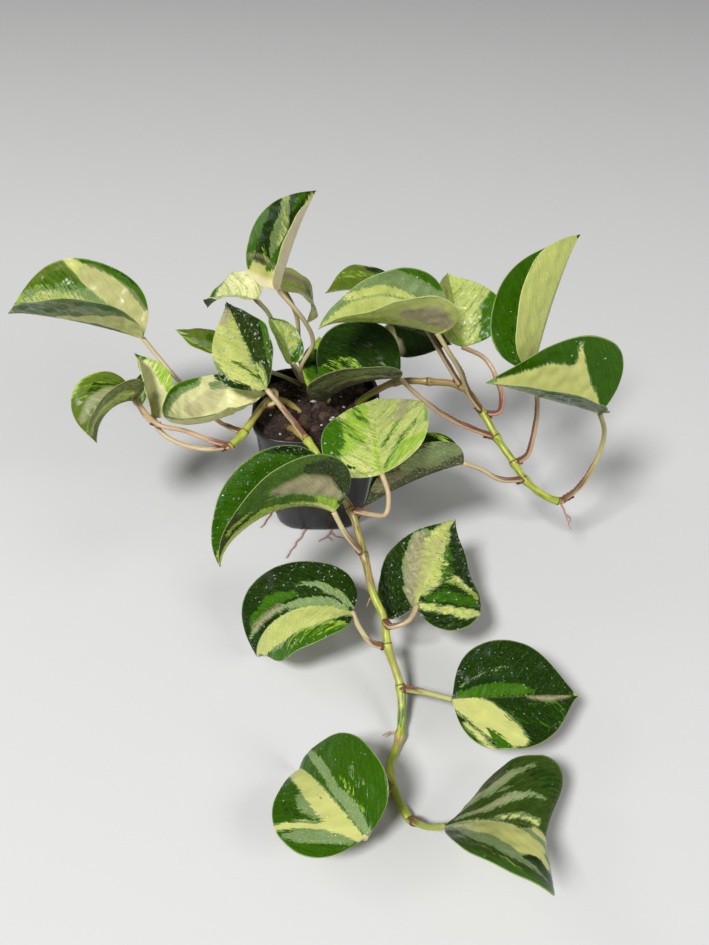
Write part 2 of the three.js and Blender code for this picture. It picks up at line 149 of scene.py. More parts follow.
def startGroup(name, inputs, outputs):
    group = bpy.data.node_groups.new(name, "ShaderNodeTree")
    for label, kind, value in inputs:
        socket = group.interface.new_socket(name=label, in_out="INPUT", socket_type=kind)
        if value is not None:
            socket.default_value = value
    for label in outputs:
        group.interface.new_socket(name=label, in_out="OUTPUT", socket_type=floatKind)
    return group, group.nodes.new("NodeGroupInput").outputs, group.nodes.new("NodeGroupOutput").inputs


def useGroup(tree, group, **inputs):
    # a value named fleckShare goes to the socket Fleck Share
    node = putNode(tree, "ShaderNodeGroup", node_tree=group)
    for key, value in inputs.items():
        label = "".join(" " + c if c.isupper() else c for c in key)
        feed(tree, node.inputs[label[0].upper() + label[1:]], value)
    return node.outputs


def startMaterial(name):
    material = bpy.data.materials.new(name)
    material.use_nodes = True
    tree = material.node_tree
    return material, tree, tree.nodes["Principled BSDF"].inputs


def dressShader(tree, shader, color, roughness, relief=None, strength=0.0, distance=0.0):
    feed(tree, shader["Base Color"], color)
    feed(tree, shader["Roughness"], roughness)
    if relief is not None:
        bump = putNode(tree, "ShaderNodeBump", {"Strength": strength, "Distance": distance, "Height": relief})
        feed(tree, shader["Normal"], bump.outputs[0])


def setShader(shader, values):
    for key, value in values.items():
        shader[key].default_value = value


floatKind = "NodeSocketFloat"
vectorKind = "NodeSocketVector"


# node groups that several materials share

def buildZoneMask():
    # a given zone, broken up along the veins: 1 inside, 0 outside, and a wider mask around it
    tree, given, result = startGroup("zoneMask", [
        ("Zone", floatKind, 0.0), ("Grain", vectorKind, None), ("Streaks", floatKind, 0.9),
        ("Flecks", floatKind, 0.5), ("Edge", floatKind, 0.08), ("Halo", floatKind, 0.12),
        ("Shift", floatKind, 0.0)], ["Mask", "Around"])
    grain = splitVector(tree, given["Grain"])
    moved = calc(tree, "ADD", grain[2], given["Shift"])
    alongVein = scaledPlace(tree, grain, 0.55, 0.06, moved)
    spotted = scaledPlace(tree, grain, 0.9, 0.5, moved)
    streak = calc(tree, "SUBTRACT", noiseField(tree, alongVein, 1.0, 6.0, 0.68), 0.5)
    fleck = calc(tree, "SUBTRACT", noiseField(tree, spotted, 1.0, 4.0, 0.7), 0.5)
    field = calc(tree, "MULTIPLY_ADD", given["Zone"], 0.5, 0.5)
    field = calc(tree, "MULTIPLY_ADD", streak, given["Streaks"], field)
    field = calc(tree, "MULTIPLY_ADD", fleck, given["Flecks"], field)
    low = calc(tree, "SUBTRACT", 0.5, given["Edge"])
    high = calc(tree, "ADD", 0.5, given["Edge"])
    feed(tree, result["Mask"], stretch(tree, field, low, high))
    feed(tree, result["Around"], stretch(tree, calc(tree, "ADD", field, given["Halo"]), low, high))
    return tree


def buildMarbling():
    # fine streaks along the veins, scattered flecks and broad soft clouds inside one tone
    tree, given, result = startGroup("marbling", [
        ("Grain", vectorKind, None), ("Shift", floatKind, 0.0), ("Fleck Share", floatKind, 0.62)],
        ["Streaks", "Flecks", "Clouds"])
    grain = splitVector(tree, given["Grain"])
    moved = calc(tree, "ADD", grain[2], given["Shift"])
    fine = noiseField(tree, scaledPlace(tree, grain, 0.85, 0.13, moved), 1.0, 5.0, 0.62)
    small = noiseField(tree, scaledPlace(tree, grain, 1.7, 0.7, moved), 1.0, 3.0, 0.6)
    broad = noiseField(tree, scaledPlace(tree, grain, 0.12, 0.09, moved), 1.0, 4.0, 0.55)
    high = calc(tree, "ADD", given["Fleck Share"], 0.07)
    feed(tree, result["Streaks"], stretch(tree, fine, 0.4, 0.66))
    feed(tree, result["Flecks"], stretch(tree, small, given["Fleck Share"], high))
    feed(tree, result["Clouds"], stretch(tree, broad, 0.35, 0.65))
    return tree


def buildVeinMarks():
    # curved side veins and the midrib, as masks and as height
    tree, given, result = startGroup("veinMarks", [
        ("Grain", vectorKind, None), ("Spacing", floatKind, 6.0), ("Width", floatKind, 0.35)],
        ["Veins", "Midrib", "Height"])
    grain = splitVector(tree, given["Grain"])
    wobble = noiseField(tree, joinVector(tree, grain[0], grain[1], grain[2]), 0.06, 2.0)
    place = calc(tree, "MULTIPLY_ADD", wobble, 5.0, grain[0])
    phase = calc(tree, "FRACT", calc(tree, "DIVIDE", place, given["Spacing"]))
    off = times(tree, calc(tree, "ABSOLUTE", calc(tree, "SUBTRACT", phase, 0.5)), given["Spacing"])
    veins = stretch(tree, off, 0.0, given["Width"], 1.0, 0.0)
    midrib = stretch(tree, calc(tree, "ABSOLUTE", grain[1]), 0.25, 1.1, 1.0, 0.0)
    bulge = calc(tree, "SINE", times(tree, phase, math.pi))
    feed(tree, result["Veins"], veins)
    feed(tree, result["Midrib"], midrib)
    feed(tree, result["Height"], calc(tree, "SUBTRACT", times(tree, bulge, 0.4), times(tree, veins, 0.5)))
    return tree


def buildFineGrain():
    # fine skin texture in the object's own space, as a mask and as height
    tree, given, result = startGroup("fineGrain", [("Size", floatKind, 1.0), ("Contrast", floatKind, 1.0)],
                                     ["Patches", "Height"])
    place = putNode(tree, "ShaderNodeTexCoord").outputs["Object"]
    density = calc(tree, "DIVIDE", 1000.0, given["Size"])
    coarse = noiseField(tree, place, times(tree, density, 0.12), 3.0)
    patches = times(tree, calc(tree, "SUBTRACT", coarse, 0.5), given["Contrast"])
    feed(tree, result["Patches"], calc(tree, "ADD", patches, 0.5))
    feed(tree, result["Height"], noiseField(tree, place, density, 2.0))
    return tree


zoneMask = buildZoneMask()
marbling = buildMarbling()
veinMarks = buildVeinMarks()
fineGrain = buildFineGrain()
print("node groups built")


# leaf finishes

leafTones = dict(
    dark=(0.006, 0.020, 0.002),
    green=(0.032, 0.105, 0.002),
    lime=(0.330, 0.480, 0.055),
    grey=(0.185, 0.270, 0.110),
    cream=(0.560, 0.570, 0.190),
    blush=(0.410, 0.340, 0.220),
)
leafGrounds = dict(
    darkLeaf=dict(ground=(0.006, 0.019, 0.002), patch=(0.013, 0.040, 0.002)),
    greenLeaf=dict(ground=(0.033, 0.108, 0.001), patch=(0.022, 0.075, 0.001)),
    mutedLeaf=dict(ground=(0.038, 0.072, 0.009), patch=(0.025, 0.053, 0.006)),
    oliveLeaf=dict(ground=(0.130, 0.185, 0.018), patch=(0.075, 0.125, 0.010)),
    limeLeaf=dict(ground=(0.300, 0.400, 0.075), patch=(0.440, 0.500, 0.150)),
    creamLeaf=dict(ground=(0.540, 0.560, 0.195), patch=(0.420, 0.500, 0.130)),
    paleLeaf=dict(ground=(0.720, 0.700, 0.390), patch=(0.620, 0.620, 0.290)),
)
paleGrounds = ("limeLeaf", "creamLeaf", "paleLeaf")
leafFinish = dict(
    topRoughness=0.21, underRoughness=0.2, specular=0.12, veinBump=0.25, veinSpacing=8.0, skinBump=0.35,
    underDull=0.35, underDots=0.7, glow=0.2, glowRadius=(1.0, 1.0, 0.25), glowScale=0.0012,
    halfway=(0.170, 0.300, 0.035), greenHalo=(0.150, 0.270, 0.040), marginTone=(0.50, 0.60, 0.22),
    veinTone=(0.52, 0.62, 0.22), midribTone=(0.52, 0.60, 0.20), dullTone=(0.160, 0.150, 0.075),
    dotTone=(0.42, 0.42, 0.27), paleUnder=(0.800, 0.700, 0.460),
)
# the layers of zones, from the lowest up: where their noise is read, how streaky and how flecked they are
zoneLayers = dict(lime=(11.0, 1.0, 0.7), grey=(17.0, 0.8, 0.8), cream=(23.0, 0.9, 0.7),
                  green=(31.0, 1.0, 0.7), dark=(37.0, 0.9, 0.7), blush=(43.0, 0.5, 0.4))


def marbledTones(tree, marble, specks, streaky, flecked):
    # every tone is marbled a little with its neighbours
    tones = leafTones
    cream = tint(tree, tones["cream"], tones["lime"], streaky, 0.75)
    cream = tint(tree, cream, leafFinish["halfway"], flecked, 0.9)
    cream = tint(tree, cream, tones["blush"], specks["Clouds"], 0.12)
    lime = tint(tree, tones["lime"], (0.170, 0.330, 0.030), specks["Streaks"], 0.6)
    lime = tint(tree, lime, tones["green"], marble["Flecks"], 0.6)
    grey = tint(tree, tones["grey"], (0.130, 0.220, 0.075), marble["Streaks"], 0.45)
    grey = tint(tree, grey, tones["cream"], specks["Flecks"], 0.5)
    green = tint(tree, tones["green"], (0.070, 0.200, 0.010), specks["Streaks"], 0.5)
    dark = tint(tree, tones["dark"], (0.022, 0.072, 0.006), marble["Clouds"], 0.5)
    blush = tint(tree, tones["blush"], tones["grey"], specks["Streaks"], 0.5)
    blush = tint(tree, blush, tones["cream"], marble["Flecks"], 0.45)
    return dict(lime=lime, grey=grey, cream=cream, green=green, dark=dark, blush=blush)


def leafMaterial(name, ground, patch):
    finish = leafFinish
    material, tree, shader = startMaterial(name)
    grain = readAttribute(tree, "grain", "Vector")
    under = readAttribute(tree, "under")
    amount = readAttribute(tree, "marble")
    edge = splitVector(tree, readAttribute(tree, "flat", "Vector"))[2]
    fields = [*splitVector(tree, readAttribute(tree, "zonesA", "Vector")),
              *splitVector(tree, readAttribute(tree, "zonesB", "Vector"))]
    veins = useGroup(tree, veinMarks, grain=grain, spacing=finish["veinSpacing"])
    marble = useGroup(tree, marbling, grain=grain, shift=5.0, fleckShare=0.6)
    specks = useGroup(tree, marbling, grain=grain, shift=71.0, fleckShare=0.57)
    flecked = times(tree, marble["Flecks"], amount)
    marbled = marbledTones(tree, marble, specks, times(tree, marble["Streaks"], amount), flecked)

    mottle = useGroup(tree, zoneMask, zone=0.0, grain=grain, streaks=1.1, flecks=0.7, edge=0.32, shift=3.1)
    color = blendColor(tree, mottle["Mask"], ground, patch)
    pale = name in paleGrounds
    if pale:
        color = blendColor(tree, flecked, color, finish["halfway"])
        color = tint(tree, color, leafTones["blush"], specks["Clouds"], 0.12)
    else:
        color = tint(tree, color, leafTones["lime"], specks["Flecks"], 0.08)
    for (kind, (shift, streaks, flecks)), zone in zip(zoneLayers.items(), fields):
        mask = useGroup(tree, zoneMask, zone=zone, grain=grain, streaks=streaks, flecks=flecks,
                        edge=0.3 if kind == "blush" else 0.05, halo=0.17, shift=shift)
        if kind == "cream":
            color = tint(tree, color, marbled["grey"], mask["Around"], 0.7)
        if kind == "green" and pale:
            color = tint(tree, color, finish["greenHalo"], mask["Around"], 0.65)
        color = blendColor(tree, mask["Mask"], color, marbled[kind])

    # the whole blade varies a little, and its veins and margin are paler
    color = tint(tree, color, (0.66, 0.72, 0.42), marble["Clouds"], 0.22, "MULTIPLY")
    color = tint(tree, color, blendColor(tree, 0.22, color, finish["veinTone"]), veins["Veins"], 0.16)
    color = tint(tree, color, blendColor(tree, 0.4, color, finish["midribTone"]), veins["Midrib"], 0.15)
    color = tint(tree, color, finish["marginTone"], stretch(tree, edge, 0.975, 1.0), 0.4)

    # undersides are duller and finely dotted, or paler where the value is below 0
    dots = stretch(tree, noiseField(tree, grain, 1.0, 2.0, 0.5), 0.55, 0.64, 0.0, finish["underDots"])
    brightness = putNode(tree, "ShaderNodeRGBToBW", {"Color": color}).outputs[0]
    greenShare = stretch(tree, brightness, 0.1, 0.4, 1.0, 0.0)
    dull = tint(tree, color, finish["dullTone"], greenShare, finish["underDull"])
    dull = tint(tree, dull, finish["dotTone"], dots, greenShare)
    dull = tint(tree, dull, (0.80, 0.70, 0.55), specks["Clouds"], 0.25, "MULTIPLY")
    color = blendColor(tree, calc(tree, "MAXIMUM", under, 0.0), color, dull)
    color = blendColor(tree, calc(tree, "MULTIPLY", under, -1.0, clamp=True), color, finish["paleUnder"])

    low, high = finish["topRoughness"] - 0.07, finish["topRoughness"] + 0.1
    roughness = stretch(tree, noiseField(tree, grain, 0.35, 2.0), 0.3, 0.7, low, high)
    rougher = times(tree, calc(tree, "ABSOLUTE", under), finish["underRoughness"])
    skin = times(tree, noiseField(tree, grain, 1.1, 4.0, 0.6), finish["skinBump"])
    relief = calc(tree, "ADD", veins["Height"], skin)
    roughness = calc(tree, "ADD", roughness, rougher)
    dressShader(tree, shader, color, roughness, relief, finish["veinBump"], 0.0005)
    setShader(shader, {"Specular IOR Level": finish["specular"], "Subsurface Weight": finish["glow"],
                       "Subsurface Radius": finish["glowRadius"], "Subsurface Scale": finish["glowScale"]})
    return material


leafMaterials = {name: leafMaterial(name, **tones) for name, tones in leafGrounds.items()}
print("leaf materials built")


# Leaves. Shape values are millimetres and degrees, the same as in the solid model.
# zones: for each tone, rows of half width in mm, strength and points in percent: along the length,
# across the half width (above 0 on the left half) and, where it isn't 100, the width there.
# flecks: how much of a tone is scattered outside its zones, from -1, none, upwards.
# dull: 1 for a dull underside, 0 for none of it, below 0 for a paler one.
leaves = dict(
    leaf_front_1=dict(
        at=(-34, -17, 124), heading=113, rise=16, roll=-24, length=83, width=59, foldLeft=30, foldRight=47,
        arch=-15, lobe=0.02, widest=0.33, ground="darkLeaf", marble=1, drops=80, dropSize=1.7, crumple=2.2,
        wave=2.2, seed=1, flecks=dict(green=-0.45, grey=-0.5),
        zones=dict(
            lime=[(13, 0.6, (5, 15, 30), (20, 42, 80), (45, 50), (70, 42, 80), (88, 15, 40)),
                  (1.4, 0.6, (22, -70), (32, -85))],
            grey=[(2.6, 1, (30, 97), (45, 95, 120), (58, 98, 50)), (3, 0.7, (8, -15), (25, -20, 60))],
            cream=[(13, 0.5, (0, 10, 20), (20, 42, 80), (45, 50, 110), (70, 42, 90), (86, 20, 50),
                    (96, 4, 20)),
                   (3, 1, (0, -4, 60), (15, -8), (28, -5, 30))],
            green=[(1.2, 1, (14, 8), (30, 36, 130), (38, 55, 50)),
                   (5, 0.9, (12, -55, 50), (30, -82), (50, -92, 60))],
            dark=[(3.2, 1, (6, 40, 50), (13, 75, 120), (20, 95, 50))],
            blush=[(3, 0.6, (80, 30), (93, 8))])),
    leaf_front_2=dict(
        at=(47, -86, 104), heading=95, rise=18, roll=-19, length=72, width=80, foldLeft=9, foldRight=25,
        arch=19, cup=-7, twist=14, lobe=0.02, widest=0.43, ground="creamLeaf", marble=1, drops=60,
        dropSize=1.4, crumple=1.8, seed=2, flecks=dict(lime=-0.3, green=-0.5),
        zones=dict(
            lime=[(11, 0.3, (30, 60, 50), (50, 45), (80, 30, 60)),
                  (1.4, 0.5, (5, 4), (30, 5, 130), (60, 6, 50)),
                  (5, 0.6, (3, -10, 40), (15, -45, 110), (22, -85, 70))],
            grey=[(5, 1, (14, 50, 40), (26, 78), (34, 92, 70)), (3, 1, (38, -100), (55, -100))],
            cream=[(5, 1, (5, 15, 30), (12, 40), (20, 58, 80)), (8, 1, (60, -40, 60), (72, -65))],
            green=[(12, 0.5, (20, 90, 50), (42, 88), (64, 80, 60)),
                   (2.4, -0.25, (30, 20, 40), (50, 45), (66, 62, 70)),
                   (2.4, -0.2, (55, 12, 40), (75, 35), (85, 40, 60)),
                   (2, 0.1, (6, -8, 30), (28, -45, 90), (42, -75, 50)),
                   (1.2, -0.2, (30, -10), (50, -40, 80), (60, -60, 30))],
            dark=[(1.3, 1, (10, 42, 60), (15, 62), (20, 80, 50))],
            blush=[(5, 0.4, (60, -45), (75, -60))])),
    leaf_front_3=dict(
        at=(15, -110, 92), heading=198, rise=45, roll=25, length=98, width=79, foldLeft=68, foldRight=49,
        arch=90, cup=17, hook=33, twist=-19, lobe=0, widest=0.33, ground="darkLeaf", marble=0.6, drops=210,
        dropSize=0.9, dull=0.3, seed=3,
        zones=dict(
            lime=[(5.5, 0.7, (0, 8, 40), (12, 16), (30, 14), (60, 12, 80), (92, 5, 40)),
                  (3.5, 0.4, (60, 35, 40), (80, 30, 60)), (1.2, 1, (15, 100), (50, 100), (80, 90)),
                  (1.2, 1, (68, -10, 60), (77, -40), (84, -85, 80)), (3, 0.6, (88, -10, 70), (97, -2, 50))],
            grey=[(8, 0.4, (5, 30, 40), (30, 36), (60, 42, 60))],
            cream=[(1.6, 1, (0, 2, 140), (35, 1.5), (66, 2, 120), (82, 5, 220), (98, 1, 80))],
            green=[(14, 0.5, (0, 90, 50), (30, 85), (60, 60, 80)),
                   (4, 1, (18, 12, 40), (40, 20), (60, 30, 60)),
                   (22, 0.9, (10, -70, 70), (40, -60), (85, -40, 60))],
            dark=[(9, 0.8, (2, 50, 50), (14, 75), (30, 75, 50)), (8, 0.2, (10, -90), (40, -98, 40))],
            blush=[(7.5, 0.5, (6, 30, 25), (20, 42, 90), (34, 46), (50, 50, 30))])),
    leaf_front_4=dict(
        at=(69, -154, 50), heading=69, rise=14, roll=-17, length=79, width=85, foldLeft=-27, foldRight=-32,
        arch=15, hook=9, twist=42, lobe=0.16, widest=0.31, ground="darkLeaf", marble=0.9, pucker=1.6,
        crumple=5, rugged=1.4, wave=1.4, drops=80, dropSize=1.2, seed=4, flecks=dict(green=-0.42, grey=-0.35),
        zones=dict(
            lime=[(4, 0.5, (36, -20, 80), (42, -50), (40, -85, 90)), (3, 0.6, (80, 10), (97, 1, 40))],
            grey=[(8, 1, (1, 6, 30), (20, 26, 80), (45, 40), (68, 42, 80), (76, 36, 40))],
            cream=[(8, 0.35, (5, 3, 30), (30, 10, 90), (50, 15), (70, 16, 80), (88, 8, 50), (98, 1, 20)),
                   (7, 0.2, (15, -3, 50), (42, -12, 110), (60, -6, 60), (80, -2, 30)),
                   (3, 0.5, (36, -20), (44, -45), (41, -82, 60)),
                   (2.8, 1, (1, -6, 60), (6, -40, 80), (13, -75, 150), (18, -92, 80))],
            green=[(5, 1, (10, -12, 40), (22, -45), (30, -85, 90)),
                   (6, 0.1, (30, -30, 40), (50, -26), (66, -14, 50))],
            blush=[(7, -0.2, (20, 2, 60), (45, 8), (66, 12, 50)),
                   (7, 0.3, (4, 12, 30), (20, 26, 70), (50, 40), (70, 42, 60))])),
    leaf_front_5=dict(
        at=(27, -151, 40), heading=168, rise=19, roll=21, length=88, width=71, foldLeft=3, foldRight=33,
        arch=103, cup=-16, hook=11, twist=-34, lobe=0.02, widest=0.48, ground="darkLeaf", marble=0.8,
        drops=110, dropSize=0.9, crumple=1.5, seed=5, flecks=dict(green=-0.5, grey=-0.6),
        zones=dict(
            lime=[(7, 0.8, (5, 50, 50), (30, 68), (52, 85, 80))],
            grey=[(3, 1, (0, -8, 30), (12, -25), (25, -42, 80), (42, -50, 20)),
                  (4, 1, (6, -2, 50), (25, -6, 120), (38, -10, 80), (60, -14, 50), (88, -20, 30)),
                  (5, 0.9, (55, 60, 40), (68, 62), (78, 55, 60))],
            cream=[(10.5, 0.8, (2, 8, 25), (14, 18, 60), (30, 27, 95), (55, 30, 105), (80, 20, 85),
                    (96, 3, 40)),
                   (1.3, 1, (34, 80, 60), (56, 98))],
            green=[(5, 0.6, (42, -30, 40), (60, -38), (80, -30, 50)), (4, 1, (5, 80), (30, 90), (50, 95, 50)),
                   (6, 1, (60, 85), (75, 78), (85, 55, 60)),
                   (7, 0.1, (3, 55, 60), (30, 78), (60, 88), (85, 55, 60))],
            dark=[(2.6, 0.5, (50, -8, 50), (75, -10), (92, -6, 60))],
            blush=[(2, -0.2, (55, -18), (80, -20))])),
    leaf_front_6=dict(
        at=(89, -209, 26), heading=-3, rise=10, roll=21, length=78, width=72, foldLeft=0, foldRight=20,
        arch=12, hook=15, lobe=-0.03, widest=0.45, ground="darkLeaf", marble=0.15, drops=130, dropSize=0.55,
        wave=1.4, seed=6,
        zones=dict(
            lime=[(2.4, -0.1, (14, 10, 50), (32, 13), (52, 12, 50)), (1.2, 1, (98, 1), (100, 0))],
            grey=[(0.6, -0.2, (8, 22), (30, 46), (48, 52))],
            cream=[(9.4, 1, (0, -3, 30), (13, -15, 80), (24, -31), (33, -52), (42, -74, 85), (50, -83, 40)),
                   (1.4, 1, (10, -50), (20, -75), (30, -100, 80))],
            green=[(4.8, 1, (6, 6, 40), (30, 14), (55, 12, 70), (64, 7, 30)),
                   (2.8, 1, (26, -60, 30), (32, -77), (38, -97, 130)),
                   (3, 1, (5, -55, 50), (14, -85), (22, -100)), (9, -0.25, (45, -35, 50), (75, -35))],
            dark=[(3.4, 1, (18, 26, 50), (40, 36), (60, 34, 50))],
            blush=[(1.4, 1, (60, -2, 40), (76, -6, 120), (92, -1, 30))])),
    leaf_front_7=dict(
        at=(34, -297, 27), heading=128, rise=9, roll=-4, length=76, width=72, foldLeft=1, foldRight=36,
        arch=55, hook=30, lobe=0, ground="greenLeaf", marble=0.12, drops=24, dropSize=0.8, seed=7,
        flecks=dict(lime=-0.8, dark=-0.8),
        zones=dict(
            lime=[(2, -0.2, (14, -24, 50), (30, -30), (42, -32, 30))],
            grey=[(3.8, 0.5, (36, 38, 70), (48, 42), (60, 38, 40)),
                  (4, 0.8, (4, 20, 50), (17, 44), (29, 74), (38, 93, 40)),
                  (3.6, 1, (0, -8, 60), (15, -12, 110), (30, -14), (50, -10, 40)),
                  (2.6, 1, (35, -12, 50), (55, -20, 120), (75, -26), (93, -30, 40)),
                  # painted sheen: a weak grey patch where a film of water shines on the blade
                  (3, -0.3, (28, -50), (38, -52, 80))],
            cream=[(5.2, 1, (0, 5, 40), (15, 14, 90), (35, 19, 120), (50, 17, 110), (70, 14, 95),
                    (94, 10, 80)),
                   (2, 1, (12, 20, 60), (26, 42, 90), (38, 68), (50, 100, 80))],
            dark=[(4, -0.2, (46, 66), (60, 60, 60)), (0.8, 1, (44, 14), (45, 14))])),
    leaf_front_8=dict(
        at=(79, -287, 20), heading=-5, rise=40, roll=-19, length=61, width=97, foldLeft=-15, foldRight=39,
        arch=47, hook=86, twist=27, lobe=-0.16, widest=0.78, ground="mutedLeaf", marble=0.15, drops=24,
        dropSize=0.6, seed=8,
        zones=dict(
            lime=[(0.7, 0.9, (30, -58), (60, -78), (78, -88))],
            grey=[(3.4, 0.5, (4, 15, 30), (30, 45, 90), (55, 70), (75, 85, 40)),
                  (3, 0.6, (10, 8, 40), (42, 20), (62, 38), (78, 42, 70), (87, 40, 20)),
                  (2, 0.3, (15, 30, 30), (40, 45), (60, 52, 30)), (1, 0.8, (50, 6), (70, 14), (86, 10)),
                  (5, 0.8, (78, -12, 70), (92, -28)),
                  (5.5, 0.9, (15, -25, 40), (45, -48, 90), (70, -62), (92, -72, 70))],
            cream=[(0.7, 1, (50, 3), (68, 10), (85, 6)),
                   (9, 1, (2, -5, 25), (25, -13, 75), (45, -20), (62, -26, 105), (76, -38), (88, -54, 40)),
                   (2.6, 1, (86, -6), (95, -12, 80))],
            green=[(7, 0.3, (30, -90, 60), (70, -98), (95, -98, 80))],
            dark=[(8, 0, (75, 75, 50), (95, 60)), (4, 0.9, (84, -62), (93, -75, 60))],
            blush=[(1.8, 0.12, (10, 30, 40), (45, 62), (60, 74, 50)),
                   (1.6, 0.25, (25, 12, 50), (50, 28), (70, 40, 50))])),
    leaf_right_1=dict(
        at=(66, 42, 165), heading=203, rise=32, roll=6, length=67, width=52, foldLeft=25, foldRight=23,
        arch=32, ground="oliveLeaf", drops=12, seed=9,
        zones=dict(
            lime=[(2.6, -0.2, (30, -50, 40), (55, -60), (80, -50, 90), (93, -30, 50))],
            cream=[(1, 1, (10, -100), (50, -100, 70))],
            dark=[(7, 0.3, (15, -85, 70), (35, -85, 60))])),
    leaf_right_2=dict(
        at=(86, -4, 163), heading=191, rise=24, roll=-8, length=86, width=78, foldLeft=64, foldRight=37,
        arch=28, cup=20, hook=36, twist=-25, lobe=0.08, widest=0.28, ground="creamLeaf", marble=0.75,
        drops=45, dull=0.12, crumple=2, wave=1.5, seed=10, flecks=dict(lime=-0.3, grey=-0.5),
        zones=dict(
            lime=[(1.8, 0.6, (30, -6, 40), (55, -10), (75, -6, 40)),
                  (4, 0.5, (40, 15, 40), (60, 20), (80, 20, 50))],
            grey=[(11, 0.9, (5, -60, 70), (25, -72, 110), (50, -75, 90), (75, -50, 50), (92, -15, 30)),
                  (3, 1, (60, -50, 50), (80, -38), (92, -20, 60)),
                  (1.4, 0.6, (60, -50), (85, -28), (97, -5))],
            cream=[(3.4, 0.7, (25, -50, 50), (50, -58), (75, -42, 70)),
                   (0.9, 1, (5, 100), (50, 100), (80, 80))],
            green=[(6, 0.9, (5, -85, 70), (22, -100), (40, -100, 50))],
            blush=[(10, 0.9, (2, 35, 60), (18, 50), (34, 50, 60))])),
    leaf_right_3=dict(
        at=(109, 27, 132), heading=100, rise=43, roll=6, length=61, width=68, foldLeft=35, foldRight=29,
        arch=15, cup=11, twist=11, lobe=0, widest=0.36, ground="creamLeaf", marble=1, drops=10, dull=0.15,
        crumple=2, seed=11, flecks=dict(lime=-0.4, grey=-0.25, green=-0.45),
        zones=dict(
            lime=[(4, 0.2, (2, 10), (30, 60, 70)), (1.6, 0.4, (2, -3), (25, -6, 60))],
            grey=[(5, 0.3, (10, -70, 50), (30, -85), (50, -90, 40)),
                  (1.6, 0.1, (10, -20, 40), (35, -50), (60, -60, 40))],
            green=[(10, 0.8, (8, -60, 60), (20, -80, 110), (38, -86), (52, -90, 50))],
            dark=[(3.6, 1, (34, 72, 40), (50, 78), (64, 74, 40))])),
    leaf_right_4=dict(
        at=(61, -8, 128), heading=183, rise=4, roll=-21, length=67, width=89, foldLeft=64, foldRight=34,
        arch=69, cup=10, hook=-6, lobe=0.02, widest=0.45, ground="darkLeaf", marble=0.3, drops=8,
        dropSize=0.7, seed=12,
        zones=dict(
            lime=[(8, -0.1, (36, -10, 40), (52, -28), (66, -40, 80), (76, -46, 30))],
            grey=[(7, 0, (5, 60, 60), (35, 70), (70, 60, 70)), (0.8, 0.9, (0, -4), (12, -16), (20, -30, 60))],
            green=[(6, 0.4, (50, -10), (75, -30, 60)), (6, 0.5, (78, -30), (90, -50))],
            blush=[(4, 0.9, (0, 8, 40), (14, 20, 80), (30, 34), (45, 45, 50), (70, 30, 30))])),
    leaf_right_5=dict(
        at=(150, -32, 150), heading=70, rise=48, roll=-22, length=107, width=76, foldLeft=33, foldRight=88,
        arch=22, cup=10, hook=14, twist=-6, lobe=0, widest=0.37, ground="greenLeaf", marble=0.85, drops=14,
        dull=0, seed=13, flecks=dict(green=-0.62),
        zones=dict(
            lime=[(1.6, 0, (25, -30, 50), (55, -40), (85, -20, 50)), (3, 0.5, (0, 5, 60), (12, 12))],
            grey=[(4, 0, (45, -20, 40), (70, -25), (90, -12, 60))],
            cream=[(40, 0.42, (5, -50), (50, -50), (95, -30)), (3, 1, (0, 60, 60), (10, 90), (18, 100, 50))],
            green=[(1.4, 0.2, (50, -96, 60), (82, -70), (97, -15, 50))],
            dark=[(8, -0.35, (5, 30, 60), (40, 45), (70, 40, 60)), (1.6, 0.8, (97, -4), (100, 0))])),
    leaf_right_6=dict(
        at=(104, -65, 96), heading=192, rise=-8, roll=8, length=77, width=59, foldLeft=75, foldRight=43,
        arch=26, cup=6, hook=-12, lobe=0.02, ground="darkLeaf", marble=0.3, drops=12, seed=14,
        zones=dict(
            lime=[(1.3, 1, (0, -25), (12, -70), (22, -98)), (0.7, 0.9, (5, -20), (20, -60), (32, -90))],
            grey=[(11, 0.3, (3, 50, 50), (25, 55), (45, 55, 60))],
            green=[(10, 0.7, (20, -40, 60), (50, -60), (80, -40, 60))],
            blush=[(6, 0, (50, 40, 50), (75, 40))])),
    leaf_right_7=dict(
        at=(196, -50, 128), heading=191, rise=23, roll=-24, length=93, width=100, foldLeft=60, foldRight=57,
        arch=-3, hook=15, lobe=0.06, widest=0.29, ground="greenLeaf", marble=0.12, drops=8, dull=0.1,
        slimLeft=0.72, seed=15,
        zones=dict(
            grey=[(5, 0.7, (88, -5, 40), (100, 0)), (6, 0.5, (70, 30), (95, 10))],
            cream=[(13, 1, (2, -3, 15), (16, -14, 50), (35, -28), (55, -24, 90), (75, -12, 50), (90, -3, 25)),
                   (2.6, 1, (32, -45, 180), (39, -66, 80), (44, -84, 30)),
                   (1.2, 1, (2, 2), (50, 2), (90, 1))],
            dark=[(10, -0.4, (0, -70, 60), (14, -70), (28, -95, 60))])),
    leaf_left_1=dict(
        at=(-36, -9, 116), heading=196, rise=-36, roll=-28, length=99, width=70, foldLeft=59, foldRight=4,
        arch=-106, cup=15, hook=-18, lobe=-0.06, widest=0.46, ground="paleLeaf", marble=0.15, pucker=1.3,
        crumple=2, drops=16, dropSize=1.1, seed=16,
        zones=dict(
            lime=[(5, -0.1, (10, 75), (50, 90))],
            grey=[(4.2, 0.6, (40, -90, 40), (62, -80), (75, -58), (85, -32), (93, -8, 80)),
                  # the grey row below is the soft edge of a painted shadow that leaf_front_1 casts on this
                  # blade
                  (4.6, 0.9, (10, -40, 40), (22, -66), (33, -72, 60))],
            green=[(3.4, 0.9, (40, -100, 40), (46, -100), (63, -94, 110), (76, -74, 110), (85, -47),
                    (93, -18), (100, 0, 80)),
                   (2.6, 0.7, (70, 84, 50), (78, 66), (85, 46), (93, 17), (100, 0))],
            # painted shadow: the dark spot that leaf_front_1 casts on this blade
            dark=[(3.6, 1, (10, -42, 40), (20, -66), (25, -90, 80))],
